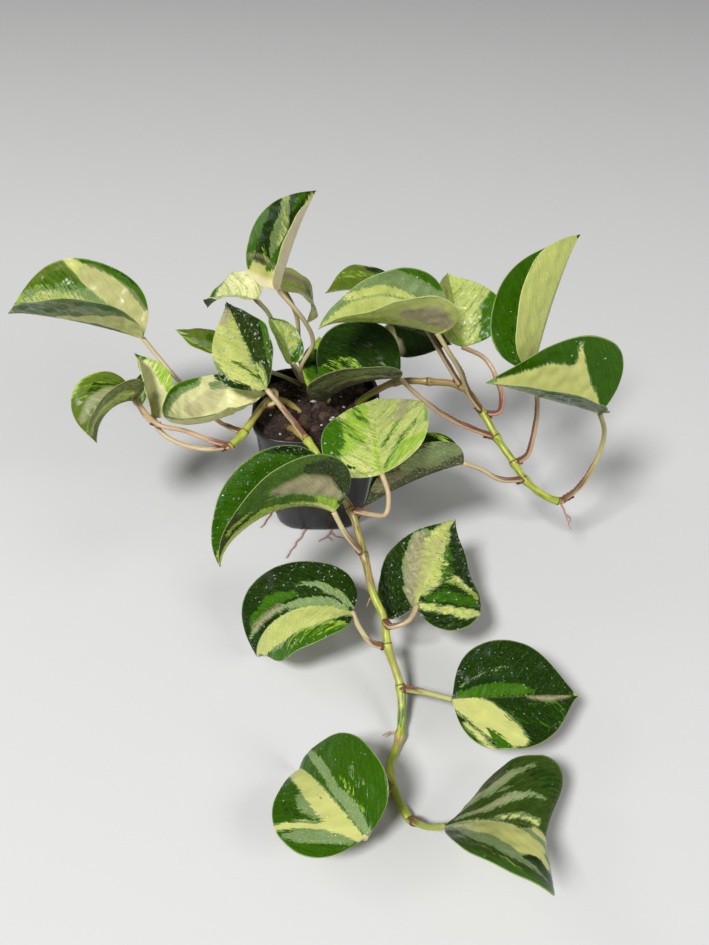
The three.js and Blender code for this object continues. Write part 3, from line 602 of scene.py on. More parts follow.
            blush=[(7, 0, (28, -58, 50), (42, -42), (60, -30, 60))])),
    leaf_left_2=dict(
        at=(-132, 39, 132), heading=175, rise=18, roll=-11, length=105, width=93, foldLeft=76, foldRight=41,
        arch=19, cup=-9, hook=13, twist=-21, lobe=0.01, widest=0.46, ground="oliveLeaf", marble=0.5,
        pucker=1.5, crumple=2, wave=1.5, drops=22, dull=0.08, seed=17,
        zones=dict(
            lime=[(7, 0.2, (36, -34, 40), (55, -42), (75, -36, 80), (90, -20, 40)),
                  (1.4, 0.3, (30, -82, 50), (42, -92), (50, -96, 50)),
                  (2, 0.9, (42, 100, 60), (60, 96), (76, 71), (85, 44), (95, 10))],
            grey=[(13, 0.2, (10, -30), (40, -40), (80, -25, 60)),
                  (6, 0.2, (18, 60, 50), (30, 60), (45, 50, 50))],
            cream=[(9, 1, (0, -20, 60), (12, -42), (28, -58), (44, -78, 90), (58, -100, 60)),
                   (4.5, 0.05, (40, -30, 50), (55, -36), (74, -30, 90), (87, -18, 40)),
                   (12, 1, (0, 20), (15, 30), (35, 20, 50), (60, 5, 20))],
            green=[(7, 0, (48, -55, 50), (62, -62), (74, -50, 60)),
                   (6, 1, (4, -52, 60), (10, -70), (20, -88), (32, -97), (44, -102), (54, -102, 50)),
                   (9, 0.9, (50, 45, 40), (65, 50), (90, 25, 50)),
                   (7, 0.5, (12, 75, 50), (24, 85), (38, 80, 50))],
            dark=[(3, 0.7, (12, -80, 60), (26, -97), (42, -104, 60))],
            blush=[(10, 0, (0, -20, 70), (20, -50), (44, -78, 70))])),
    leaf_left_3=dict(
        at=(-129, -21, 118), heading=216, rise=26, roll=11, length=47, width=62, foldLeft=51, foldRight=31,
        arch=110, hook=-10, twist=-7, ground="oliveLeaf", drops=8, seed=18,
        flecks=dict(lime=-0.3, grey=-0.45),
        zones=dict(
            lime=[(1.2, 0.8, (8, -10), (35, -20), (60, -15)), (1.8, 0.9, (5, -98), (40, -102), (75, -85)),
                  (7, 0.4, (20, 30), (70, 30))],
            grey=[(3.4, 0.9, (10, -26, 40), (30, -38), (50, -44), (75, -40, 60))],
            cream=[(1.6, 0.8, (10, 30), (50, 40), (80, 30))],
            green=[(6, 0.8, (65, 10), (95, 5))],
            dark=[(4.5, -0.1, (8, -50, 60), (26, -66), (45, -60, 40))],
            blush=[(3, 0.1, (20, -36), (45, -42), (70, -40))])),
    leaf_left_4=dict(
        at=(-116, -28, 108), heading=104, rise=39, roll=27, length=56, width=39, foldLeft=53, foldRight=27,
        arch=30, cup=16, ground="paleLeaf", marble=0.1, dull=0.1, drops=0, seed=19,
        zones=dict(
            lime=[(8, 0.15, (20, -95, 50), (50, -90), (80, -60, 70)), (9, -0.1, (10, 60), (80, 50))],
            green=[(2.4, 0.3, (88, -25), (98, 0))],
            blush=[(1.2, 1, (26, -20), (30, -22))])),
    leaf_left_5=dict(
        at=(-129, -13, 107), heading=87, rise=33, roll=0, length=30, width=13, foldLeft=30, foldRight=30,
        arch=15, ground="greenLeaf", drops=0, seed=20,
        zones=dict(
            grey=[(2, 0.8, (5, -30), (80, -40))],
            cream=[(3.4, 1, (5, 50), (45, 80))])),
    leaf_crown_1=dict(
        at=(-25, 22, 182), heading=68, rise=47, roll=-5, length=82, width=62, foldLeft=38, foldRight=78,
        arch=22, hook=9, twist=24, lobe=0.03, widest=0.36, ground="darkLeaf", marble=0.2, drops=0, dull=-0.75,
        paleBase=0.085, seed=21,
        zones=dict(
            lime=[(2.4, 0.6, (14, 92, 50), (22, 82)), (0.8, 1, (17, 30), (23, 50), (31, 66, 50))],
            grey=[(5, 1, (24, 35, 40), (42, 40), (60, 42, 80), (78, 62, 50))],
            cream=[(10, 1, (-2, 15, 60), (3, 40), (5, 75, 90)),
                   (3.2, 1, (5, 10, 160), (20, 8), (40, 8, 60), (92, 4, 35)),
                   (2.2, -0.15, (36, 30, 50), (50, 32), (62, 42, 80), (82, 66, 50)),
                   (50, 1, (-10, -50), (90, -50))],
            green=[(7, 0.8, (12, 98), (35, 100), (60, 95, 70)),
                   (2.6, 1, (14, 36, 60), (30, 24), (42, 20, 50)), (3, 0.6, (70, 30, 50), (86, 25))],
            blush=[(14, -0.4, (0, 20), (5, 60)), (50, -0.05, (0, -50), (90, -50))])),
    leaf_crown_2=dict(
        at=(-45, 48, 160), heading=160, rise=12, roll=-4, length=49, width=40, foldLeft=28, foldRight=30,
        arch=66, ground="paleLeaf", marble=0.35, drops=0, dull=0.5, wave=3, seed=22,
        flecks=dict(green=-0.42, grey=-0.4),
        zones=dict(
            lime=[(5, 0.5, (30, 30), (60, 30)), (3, 0.7, (85, 10), (98, 0))],
            grey=[(3.2, 0.9, (66, -75, 80), (76, -45), (80, -10, 80))],
            green=[(5, 0.8, (84, -50), (93, -10)), (7, 0.8, (72, 40), (95, 10))])),
    leaf_crown_3=dict(
        at=(-25, 44, 175), heading=13, rise=-4, roll=5, length=51, width=36, foldLeft=19, foldRight=15,
        arch=122, cup=-12, lobe=0.06, widest=0.24, ground="creamLeaf", marble=0.3, drops=0, dull=0.2, wave=2,
        seed=23,
        zones=dict(
            lime=[(3, 0, (2, 10), (30, 12)), (4, 0.2, (50, 30), (95, 0))],
            cream=[(8, 0.25, (0, 90, 70), (20, 80), (45, 80, 90), (80, 30, 60)),
                   (1.6, 0.8, (45, 5), (98, 0))],
            green=[(3, 0.4, (86, 10), (100, 0))],
            blush=[(3.4, 0.7, (5, 45), (25, 40), (40, 50, 60))])),
    leaf_crown_4=dict(
        at=(-18, 18, 124), heading=117, rise=46, roll=10, length=43, width=26, foldLeft=33, foldRight=26,
        arch=35, cup=10, hook=7, ground="limeLeaf", marble=0.5, drops=30, seed=24, flecks=dict(green=-0.35),
        zones=dict(
            lime=[(6, 0.3, (30, 80), (80, 60))],
            cream=[(4, 0.5, (20, -30), (50, -50), (70, -40, 50)), (3, 0.2, (30, 30), (60, 30))],
            green=[(3.4, 0.6, (4, -15), (14, -50), (20, -90)), (2, 0.5, (70, -85), (97, -5))])),
    leaf_crown_5=dict(
        at=(-68, 29, 128), heading=164, rise=17, roll=0, length=42, width=30, foldLeft=10, foldRight=10,
        arch=5, cup=-9, twist=11, ground="oliveLeaf", drops=6, seed=25,
        zones=dict(
            lime=[(1.4, 0.9, (20, 70), (75, 50))],
            grey=[(5, 0.2, (15, 20), (55, 30))],
            cream=[(1.6, 0.8, (80, 10), (100, 0))],
            green=[(4, 0.6, (15, -50), (35, -40))])),
    leaf_crown_6=dict(
        at=(57, 69, 126), heading=-31, rise=1, roll=-4, length=54, width=55, foldLeft=-8, foldRight=-19,
        arch=6, hook=-12, ground="darkLeaf", drops=15, seed=26,
        zones=dict(
            grey=[(0.7, 0.8, (50, -99), (90, -60))],
            cream=[(2, 1, (4, -14), (20, -45))],
            green=[(5, 0.5, (10, 10), (30, 20))],
            blush=[(1.2, 1, (2, -10), (16, -40)), (5, 1, (25, -60), (38, -90))])),
    leaf_crown_7=dict(
        at=(8, 7, 104), heading=103, rise=33, roll=-21, length=53, width=32, foldLeft=22, foldRight=43,
        arch=25, cup=13, ground="oliveLeaf", marble=0.5, drops=6, seed=27,
        zones=dict(
            lime=[(5, 0.9, (78, 30), (98, 0)), (2.4, 0.5, (15, 90), (60, 95)), (4, 0.8, (75, -30), (95, 0))],
            green=[(5, 0.3, (30, 60), (60, 65))],
            dark=[(4.5, 0.6, (34, 20, 70), (50, 25), (68, 20, 60)), (4, 0.4, (40, -30), (65, -30))])),
)
# what holds for a leaf that says nothing else
leafUsual = dict(lobe=0.05, widest=0.38, hook=0, cup=0, twist=0, slimLeft=0, marble=0.4, pucker=1, crumple=1,
                 wave=1, rugged=0, dropSize=1, dull=1.0, paleBase=-1, flecks={})
leaves = {node: {**leafUsual, **leaf} for node, leaf in leaves.items()}
bladeMake = dict(grid=(64, 18), smallGrid=(44, 12), ruggedGrid=(112, 40), smallLength=60,
                 lobeShare=0.42, hookStart=0.75, alongCrowding=1.15, acrossCrowding=1.25,
                 halfThickness=0.28, marginThickness=0.16,
                 midribRidge=0.55, midribGroove=0.22, midribWidth=0.9,
                 quilt=0.06, quiltSpacing=8.0, pucker=0.42, crumple=0.16, marginWave=0.8, zoneSoftness=3.2)


# small helpers for shapes

def ringAngles(sides):
    return [2 * math.pi * k / sides for k in range(sides)]


def ringFaces(start, rings, sides):
    # quads between rings of points that follow each other from the point numbered start
    faces = []
    for first in range(start, start + (rings - 1) * sides, sides):
        for k in range(sides):
            p, q = first + k, first + (k + 1) % sides
            faces.append([p, q, q + sides, p + sides])
    return faces


def closedTube(start, rings, sides):
    last = start + (rings - 1) * sides
    foot, head = [start + k for k in reversed(range(sides))], [last + k for k in range(sides)]
    return ringFaces(start, rings, sides) + [foot, head]


def directions(path):
    along = np.gradient(path, axis=0)
    return along / np.linalg.norm(along, axis=1, keepdims=True)


def vertexNormals(points, triangles):
    a, b, c = (points[triangles[:, k]] for k in range(3))
    facing = np.cross(b - a, c - a)
    normals = np.zeros_like(points)
    for corners in triangles.T:
        np.add.at(normals, corners, facing)
    return normals / np.maximum(np.linalg.norm(normals, axis=1, keepdims=True), 1e-12)


def addMeshPiece(name, points, faces, material, smooth=True):
    # takes its points in mm
    mesh = bpy.data.meshes.new(name)
    mesh.from_pydata([tuple(v * mm for v in p) for p in points], [], [tuple(f) for f in faces])
    mesh.validate()
    mesh.polygons.foreach_set("use_smooth", [smooth] * len(mesh.polygons))
    mesh.update()
    mesh.materials.append(material)
    piece = bpy.data.objects.new(name, mesh)
    bpy.context.scene.collection.objects.link(piece)
    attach(piece, "root")
    return piece


def giveValues(piece, name, values):
    values = np.asarray(values, np.float32)
    kind, field = ("FLOAT_VECTOR", "vector") if values.ndim == 2 else ("FLOAT", "value")
    attribute = piece.data.attributes.new(name, kind, "POINT")
    attribute.data.foreach_set(field, values.ravel())


# leaf blades

def bezier(points, t):
    p = np.array(points, float)
    t = t[:, None]
    return (1 - t) ** 3 * p[0] + 3 * (1 - t) ** 2 * t * p[1] + 3 * (1 - t) * t ** 2 * p[2] + t ** 3 * p[3]


def halfOutline(lobe, widest, a):
    share = bladeMake["lobeShare"]
    lobeCurve = bezier([(0, 0), (-1.25 * lobe, 0.28), (-0.9 * lobe, 1), (widest, 1)],
                       np.clip(a / share, 0, 1))
    tipCurve = bezier([(widest, 1), (widest + 0.34, 1), (0.86, 0.2), (1, 0)],
                      np.clip((a - share) / (1 - share), 0, 1))
    return np.where((a < share)[:, None], lobeCurve, tipCurve)


def bladeFrame(leaf):
    heading, rise, roll = (math.radians(leaf[k]) for k in ("heading", "rise", "roll"))
    flat = math.cos(rise)
    along = np.array([math.cos(heading) * flat, math.sin(heading) * flat, math.sin(rise)])
    level = np.array([-math.sin(heading), math.cos(heading), 0.0])
    upright = np.cross(along, level)
    left = level * math.cos(roll) + upright * math.sin(roll)
    return along, left, upright * math.cos(roll) - level * math.sin(roll)


def archedMidrib(leaf):
    # how far ahead, how high and how steep the midrib is at even steps along it
    steps = np.linspace(0, leaf["length"], 161)
    s, start = steps / leaf["length"], bladeMake["hookStart"]
    hook = leaf["hook"] * np.clip((s - start) / (1 - start), 0, None) ** 2
    slope = -np.radians(leaf["arch"] * s + hook)
    ahead, up = (np.concatenate([[0], np.cumsum((v[1:] + v[:-1]) / 2 * steps[1])])
                 for v in (np.cos(slope), np.sin(slope)))
    return steps, ahead, up, slope


def foldedHalf(leaf, q, side):
    # how far out and how high a point q half widths across lies on its folded and cupped half
    halfWidth = leaf["width"] / 2
    fold = math.radians(leaf["foldLeft"] if side > 0 else leaf["foldRight"])
    bend = math.radians(leaf["cup"])
    if bend == 0:
        return q * halfWidth * math.cos(fold), q * halfWidth * math.sin(fold)
    across = halfWidth / bend * (np.sin(fold + bend * q) - math.sin(fold))
    return across, -halfWidth / bend * (np.cos(fold + bend * q) - math.cos(fold))


def bladePlace(leaf, x, q, side):
    # where the flat point x mm along and q half widths across lies on the bent blade
    along, left, normal = bladeFrame(leaf)
    steps, *curves = archedMidrib(leaf)
    ahead, up, angle = (np.interp(x, steps, curve) for curve in curves)
    ahead = np.where(x < 0, x, ahead)[..., None]
    up, angle = (np.where(x < 0, 0, v)[..., None] for v in (up, angle))
    rising = normal * np.cos(angle) - along * np.sin(angle)
    turn = (math.radians(leaf["twist"]) * np.clip(x, 0, None) / leaf["length"])[..., None]
    sideways = left * np.cos(turn) + rising * np.sin(turn)
    outward = rising * np.cos(turn) - left * np.sin(turn)
    across, raised = foldedHalf(leaf, q, side)
    place = np.array(leaf["at"], float) + along * ahead + normal * up
    return place + sideways * (side * across)[..., None] + outward * raised[..., None]


def bandInside(leaf, halfWidth, points, x, y):
    # how far a place lies inside the band along a zone's points, in mm
    line = [(s / 100 * leaf["length"], q / 100 * leaf["width"] / 2,
             halfWidth * (wide[0] / 100 if wide else 1)) for s, q, *wide in points]
    inside = np.full(x.shape, -1e9)
    for (ax, ay, aw), (bx, by, bw) in zip(line, line[1:]):
        lengthSquared = (bx - ax) ** 2 + (by - ay) ** 2 + 1e-9
        t = np.clip(((x - ax) * (bx - ax) + (y - ay) * (by - ay)) / lengthSquared, 0, 1)
        away = np.hypot(x - ax - t * (bx - ax), y - ay - t * (by - ay))
        inside = np.maximum(inside, aw + (bw - aw) * t - away)
    return inside


def zoneField(leaf, tone, x, y):
    # above 0 inside the leaf's zones of one tone, -1 well outside; a zone stays on its own half
    field = np.full(x.shape, float(leaf["flecks"].get(tone, -1.0)))
    for halfWidth, strength, *points in leaf["zones"].get(tone, []):
        side = 1 if sum(p[1] for p in points) >= 0 else -1
        inside = np.clip(bandInside(leaf, halfWidth, points, x, y) / bladeMake["zoneSoftness"], -1, 1)
        value = inside * np.where(inside > 0, strength, 1.0)
        field = np.maximum(field, np.where(side * y >= -0.05, value, -1.0))
    return field


def bladeGrid(leaf):
    # bent points with their flat places: along and across in mm, and the share of the way out to the margin
    rows, columns = bladeMake["smallGrid" if leaf["length"] < bladeMake["smallLength"] else "grid"]
    if leaf["rugged"]:
        rows, columns = bladeMake["ruggedGrid"]
    a = np.linspace(0, 1, rows + 1)
    outline = halfOutline(leaf["lobe"], leaf["widest"], a)
    out = 1 - (1 - np.linspace(0, 1, columns + 1)) ** bladeMake["acrossCrowding"]
    length, halfWidth = leaf["length"], leaf["width"] / 2
    points, flat, index, grids = [], [], {}, {}
    for side in (1, -1):
        x = ((a ** bladeMake["alongCrowding"])[:, None] * (1 - out) + outline[:, :1] * out) * length
        q = outline[:, 1:] * out
        if side > 0:
            q = q * (1 - leaf["slimLeft"] * np.exp(-(np.clip(x / length + 0.08, 0, None) / 0.36) ** 2))
        place = bladePlace(leaf, x, q, side)
        grid = np.zeros((rows + 1, columns + 1), int)
        for i in range(rows + 1):
            for j in range(columns + 1):
                shared = i in (0, rows) or j == 0  # both halves use the points of the midrib
                key, j0 = ((i,), 0) if shared else ((i, j, side), j)
                if key not in index:
                    index[key] = len(points)
                    points.append(place[i, j0])
                    flat.append((x[i, j0], side * q[i, j0] * halfWidth, out[j0]))
                grid[i, j] = index[key]
        grids[side] = grid
    return np.array(points), np.array(flat), grids


def bladeCells(grids):
    # faces of one side of the blade, and the steps along its margin
    cells, rim = [], []
    for side, grid in grids.items():
        rows, columns = grid.shape[0] - 1, grid.shape[1] - 1
        for i in range(rows):
            for j in range(columns):
                corners = (grid[i, j], grid[i + 1, j], grid[i + 1, j + 1], grid[i, j + 1])
                cell = list(dict.fromkeys(corners))
                if len(cell) > 2:
                    cells.append(cell[::side])
            rim.append((grid[i, columns], grid[i + 1, columns])[::side])
    return cells, rim


def bladeRelief(leaf, x, y, veinPlace, toMargin):
    # how far each point is raised: between the veins, by broad and by fine folds, and along the margin
    length, seed, out = leaf["length"], leaf["seed"], np.abs(y)
    toTip = 1 - x / length
    fade = (np.clip(toTip * 6, 0, 1) * np.clip(out / (leaf["width"] / 2) * 4, 0, 1)
            * np.clip((1 - toMargin) * 5, 0.2, 1))
    quilt = bladeMake["quilt"] * np.cos(2 * np.pi * veinPlace / bladeMake["quiltSpacing"] + seed)
    pucker = 0
    for k in range(5):
        turn, fineness = k * 2.4, 0.3 + 0.09 * k
        pucker = pucker + np.sin(x * math.cos(turn) * fineness + out * math.sin(turn) * fineness
                                 + seed * (1.3 + k) + np.sign(y) * k)
    pucker = bladeMake["pucker"] * leaf["pucker"] * pucker / 2.2
    bent = np.sin(veinPlace * 0.95 + 1.6 * np.sin(y * 0.21 + seed))
    bent = bent * np.sin(out * 0.42 + seed * 2.0 + 0.12 * x)
    bent = bent + 0.6 * np.sin(veinPlace * 1.6 - out * 0.5 + seed) * np.sin(x * 0.31 + seed)
    crumple = bladeMake["crumple"] * leaf["crumple"] * bent
    if leaf["rugged"]:  # blistered where the blade is pale
        pale = np.clip(np.maximum(zoneField(leaf, "cream", x, y), zoneField(leaf, "grey", x, y)), 0, 1)
        blisters = np.sin(x * 1.25 + 1.3 * np.sin(y * 0.7)) * np.sin(y * 1.15 + 1.4 * np.sin(x * 0.6))
        crumple = crumple + leaf["rugged"] * pale * (blisters + 0.5 * np.sin(x * 0.7 - y * 0.9))
    wave = np.sin(x / length * 9.5 + seed * 1.7 + np.sign(y)) + 0.5 * np.sin(x / length * 21 + seed)
    wave = wave * bladeMake["marginWave"] * leaf["wave"] * toMargin ** 4 * np.clip(toTip * 5, 0, 1)
    return fade * (quilt + pucker + crumple) + wave * np.clip(length / 80, 0.3, 1)


def markLeaf(piece, leaf, x, y, veinPlace, toMargin):
    # what the leaf material reads, the same on both sides of the blade but for under
    count = len(x)
    both = lambda *columns: np.tile(np.stack(columns, 1), (2, 1))
    giveValues(piece, "grain", both(veinPlace, y, np.full(count, leaf["seed"] * 7.3)))
    giveValues(piece, "flat", both(x / leaf["length"], y / (leaf["width"] / 2), toMargin))
    giveValues(piece, "marble", np.full(2 * count, leaf["marble"]))
    paleBase = -0.8 * np.clip((leaf["paleBase"] - x / leaf["length"]) * 30, 0, 1)
    giveValues(piece, "under", np.concatenate([paleBase, np.full(count, leaf["dull"])]))
    fields = [zoneField(leaf, tone, x, y) for tone in zoneLayers]
    giveValues(piece, "zonesA", both(*fields[:3]))
    giveValues(piece, "zonesB", both(*fields[3:]))


def addLeaf(node, leaf):
    points, flat, grids = bladeGrid(leaf)
    cells, rim = bladeCells(grids)
    triangles = np.array([(c[0], c[k], c[k + 1]) for c in cells for k in range(1, len(c) - 1)])
    x, y, toMargin = flat.T
    out = np.abs(y)
    # side veins run from the midrib outwards and bend towards the tip
    veinPlace = x - 0.5 * out - 0.42 * out * (out / (leaf["width"] / 2))
    relief = bladeRelief(leaf, x, y, veinPlace, toMargin)
    centre = points + vertexNormals(points, triangles) * relief[:, None]
    normals = vertexNormals(centre, triangles)
    inner, rimmed = bladeMake["halfThickness"], bladeMake["marginThickness"]
    thick = inner + (rimmed - inner) * toMargin ** 3
    nearMidrib = np.exp(-(out / bladeMake["midribWidth"]) ** 2) * np.clip(1.15 - x / leaf["length"], 0, 1)
    top = centre + normals * (thick - bladeMake["midribGroove"] * nearMidrib)[:, None]
    bottom = centre - normals * (thick + bladeMake["midribRidge"] * nearMidrib)[:, None]

    count = len(centre)
    faces = cells + [[i + count for i in reversed(c)] for c in cells]
    faces += [[p, q, q + count, p + count] for p, q in rim]
    material = leafMaterials[leaf["ground"]]
    piece = addMeshPiece(node + "_blade", np.vstack([top, bottom]), faces, material)
    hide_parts(node)
    markLeaf(piece, leaf, x, y, veinPlace, toMargin)
    return dict(points=top, normals=normals, cells=cells)


bladeTops = {node: addLeaf(node, leaf) for node, leaf in leaves.items()}
print("leaves built:", len(leaves))


# water drops that stand on the upper sides

# rings: how wide and how high a drop is from its foot up, for a radius of 1
dropMake = dict(small=0.24, large=0.75, smallMore=3.2, flatness=0.6, stretched=0.3, share=2.6, sides=8,
                rings=((1.0, -0.12), (0.96, 0.18), (0.66, 0.72)))


def waterMaterial():
    material, tree, shader = startMaterial("waterDrop")
    ripple = useGroup(tree, fineGrain, size=0.5, contrast=0.6)["Patches"]
    color = blendColor(tree, ripple, (0.93, 0.97, 0.93), (1.0, 1.0, 1.0))
    dressShader(tree, shader, color, stretch(tree, ripple, 0.0, 1.0, 0.02, 0.08))
    setShader(shader, {"Transmission Weight": 0.75, "IOR": 1.33, "Specular IOR Level": 0.8})
    return material


def dropPlace(top, cell):
    # a seeded place on one cell of a blade
    corners = top["points"]
    u, v = random.random(), random.random()
    first = corners[cell[0]] * (1 - u) + corners[cell[1]] * u
    second = corners[cell[-1]] * (1 - u) + corners[cell[2]] * u
    return Vector(first * (1 - v) + second * v), Vector(top["normals"][cell[0]]).to_track_quat("Z", "Y")


def addDrops(name, nodes, material):
    random.seed(len(name) * 31)
    points, faces = [], []
    make, sides = dropMake, dropMake["sides"]
    for node in nodes:
        leaf, top = leaves[node], bladeTops[node]
        areas = [np.linalg.norm(top["points"][c[2]] - top["points"][c[0]]) ** 2 for c in top["cells"]]
        for cell in random.choices(top["cells"], weights=areas, k=int(leaf["drops"] * make["share"])):
            centre, turn = dropPlace(top, cell)
            radius = make["small"] + (make["large"] - make["small"]) * random.random() ** make["smallMore"]
            radius *= leaf["dropSize"]
            longer = 1 + make["stretched"] * random.random()
            start = len(points)
            for ring, height in make["rings"]:
                for angle in ringAngles(sides):
                    local = Vector((radius * ring * longer * math.cos(angle), radius * ring * math.sin(angle),
                                    radius * height * make["flatness"]))
                    points.append(centre + turn @ local)
            points.append(centre + turn @ Vector((0, 0, radius * make["flatness"])))
            faces.append([start + k for k in reversed(range(sides))])
            faces += ringFaces(start, len(make["rings"]), sides)
            upper = start + (len(make["rings"]) - 1) * sides
            faces += [[upper + k, upper + (k + 1) % sides, upper + sides] for k in range(sides)]
    addMeshPiece(name, points, faces, material)


water = waterMaterial()
for vine in ("front", "right", "left", "crown"):
    addDrops("water_drops_" + vine, [node for node in leaves if node.startswith("leaf_" + vine)], water)
print("water drops placed")


# vines with their petioles, nodes and aerial roots, placed in mm

vines = dict(
    stem_front=dict(
        main=[(-20, -20, 88), (-18, -25, 95), (-10, -44, 105), (-4, -53, 106), (6, -67, 99), (17, -83, 87),
              (26, -93, 78), (35, -121, 62), (41, -145, 51), (48, -159, 42), (50, -174, 33), (58, -195, 18),
              (57, -221, 5), (50, -242, 3.3), (53, -259, 3.3), (60, -276, 6)],
        petioles=[[(-4, -53, 106), (-17, -36, 113), (-34, -17, 124)],
                  [(26, -93, 78), (40, -104, 84), (49, -110, 90), (51, -99, 97), (47, -86, 104)],
                  [(35, -121, 62), (23, -117, 78), (15, -110, 92)],
                  [(48, -159, 42), (52, -169, 47), (62, -168, 51), (67, -160, 50), (69, -154, 50)],
                  [(50, -174, 33), (40, -173, 35), (32, -162, 37), (27, -151, 40)],
                  [(58, -196, 19), (73, -202, 23), (89, -209, 26)],
                  [(51, -250, 3), (42, -275, 10), (34, -297, 27)],
                  [(60, -276, 6), (70, -284, 13), (79, -287, 20)]],
        nodes=[(-4, -53, 106), (26, -93, 78), (35, -121, 62), (50, -174, 33), (58, -195, 18), (57, -221, 5)],
        stretches=[("tan", -6, 45, 0.8), ("tan", 60, 160, 0.9), ("green", 84, 158, 0.7),
                   ("tan", 196, 222, 0.4), ("green", 226, 252, 1.0), ("tan", 252, 264, 1.0)],
        stalks=[(0.2, 0.1, 0.9), (0.35, 0.0, 0.3), (0.1, 0.15, 0.7), (0.3, 0.0, 0.6), (0.05, 0.1, 0.5),
                (0.0, 0.8, 0.5), (0.1, 0.3, 0.3), (0.0, 1.0, 0.4)],
        roots=[[(41, -145, 51), (38, -147, 46), (37, -148, 42)], [(57, -220, 5), (51, -219, 5),
               (46, -222, 6.5)]]),
    stem_right=dict(
        main=[(27, 7, 86), (29, 7, 92), (37, 7, 100), (48, 10, 106), (60, 14, 109), (85, 13, 110),
              (109, 9, 108), (124, -11, 98), (133, -27, 88), (145, -43, 77), (152, -53, 70), (166, -63, 63),
              (177, -66, 60)],
        petioles=[[(109, 8, 108), (101, 11, 120), (92, 15, 134), (78, 29, 152), (66, 42, 165)],
                  [(124, -11, 98), (113, -7, 112), (104, -7, 134), (94, -7, 151), (86, -4, 163)],
                  [(124, -11, 98), (135, -13, 101), (138, -4, 107), (135, 8, 115), (126, 22, 125),
                  (109, 27, 132)],
                  [(133, -27, 88), (113, -23, 94), (94, -17, 101), (75, -12, 115), (61, -8, 128)],
                  [(145, -43, 77), (153, -43, 84), (156, -41, 102), (156, -37, 125), (150, -32, 150)],
                  [(152, -53, 70), (132, -62, 78), (117, -62, 88), (104, -65, 96)],
                  [(177, -66, 60), (191, -60, 70), (200, -55, 92), (202, -51, 112), (196, -50, 128)]],
        nodes=[(60, 14, 109), (85, 13, 110), (109, 9, 108), (124, -11, 98), (133, -27, 88),
               (145, -43, 77), (152, -53, 70), (177, -66, 60)],
        stretches=[("tan", 20, 118, 0.95), ("bark", 43, 118, 0.35), ("green", 120, 208, 0.3)],
        stalks=[(0.1, 0.4, 0.9), (0.15, 0.5, 0.7), (0.6, 0.0, 0.6), (0.4, 0.3, 0.7), (0.4, 0.0, 0.8),
                (0.25, 0.1, 0.6), (0.2, 0.5, 0.5)],
        roots=[[(177, -66, 60), (182, -68, 50), (187, -71, 38)], [(182.5, -68.2, 49), (186, -66.5, 45),
               (188, -65.5, 40)]]),
    stem_left=dict(
        main=[(-11, 0, 86), (-14, 0, 92), (-24, 3, 99), (-35, -7, 106), (-43, -28, 108), (-50, -42, 104),
              (-59, -52, 100)],
        petioles=[[(-39, -14, 107), (-30, -12, 109), (-29, -9, 117), (-36, -9, 116)],
                  [(-50, -42, 104), (-71, -19, 97), (-87, 1, 100), (-106, 20, 107), (-120, 31, 119),
                  (-132, 39, 132)],
                  [(-59, -52, 100), (-74, -48, 103), (-91, -44, 108), (-109, -42, 112), (-129, -21, 118)],
                  [(-59, -52, 100), (-77, -51, 97), (-97, -45, 98), (-110, -37, 102), (-116, -28, 108)],
                  [(-109, -42, 112), (-120, -30, 109), (-129, -13, 107)]],
        nodes=[(-35, -7, 106), (-50, -42, 104), (-59, -52, 100)],
        stretches=[("tan", -6, 30, 0.7), ("tan", 30, 70, 0.6)],
        stalks=[(0.1, 0.4, 0.2), (0.1, 0.1, 0.2), (0.6, 0.0, 0.2), (0.3, 0.1, 0.2), (0.2, 0.2, 0.0)],
        roots=[]),
    stem_crown=dict(
        main=[(-7, 27, 84), (-7, 28, 92), (-8, 28, 99)],
        petioles=[[(-8, 27, 94), (-13, 23, 110), (-11, 21, 120), (-2, 21, 139), (-7, 19, 158),
                  (-25, 22, 182)],
                  [(-9, 29, 94), (-15, 37, 98), (-22, 46, 108), (-31, 53, 126), (-37, 52, 146),
                  (-45, 48, 160)],
                  [(-8, 31, 94), (-13, 37, 112), (-14, 42, 130), (-15, 43, 150), (-25, 44, 175)],
                  [(-8, 27, 94), (-11, 23, 108), (-18, 18, 124)],
                  [(-9, 28, 94), (-24, 31, 101), (-38, 31, 108), (-54, 30, 120), (-68, 29, 128)],
                  [(-6, 29, 94), (8, 38, 100), (18, 47, 105), (28, 57, 109), (44, 65, 116), (57, 69, 126)],
                  [(-5, 27, 94), (2, 16, 96), (6, 5, 98), (9, 1, 101), (8, 7, 104)]],
        nodes=[], roots=[], stretches=[],
        stalks=[(0.15, 0.0, 0.2), (0.0, 0.4, 0.2), (0.0, 0.4, 0.2), (0.1, 0.3, 0.2), (0.1, 0.3, 0.2),
                (0.1, 0.4, 0.2), (0.0, 0.6, 0.0)]),
)
# stretches: what tints the stem between two places, in mm along it, and how much
# stalks: for each petiole how pink, how green and how far up it keeps its dried wings
vineMake = dict(stemRadius=2.8, crownRadius=4.1, petioleRadius=1.8, rootRadius=0.7, nodeSwelling=1.22,
                spacing=1.6, rootSpacing=1.0, sides=14, rootSides=8, channel=0.22, wingHeight=1.15,
                wingThickness=0.22)
stemTones = dict(
    pale=(0.450, 0.470, 0.065), green=(0.240, 0.310, 0.022), stripe=(0.045, 0.130, 0.008),
    tan=(0.350, 0.210, 0.090), bark=(0.130, 0.045, 0.024), scar=(0.110, 0.040, 0.020),
    petiole=(0.510, 0.430, 0.240), petiolePale=(0.560, 0.520, 0.260), petioleFibre=(0.240, 0.100, 0.050),
    olive=(0.290, 0.350, 0.050), blush=(0.480, 0.230, 0.150), speck=(0.700, 0.550, 0.360),
    root=(0.420, 0.250, 0.170), sheath=(0.230, 0.110, 0.050), darkSheath=(0.110, 0.045, 0.020),
)
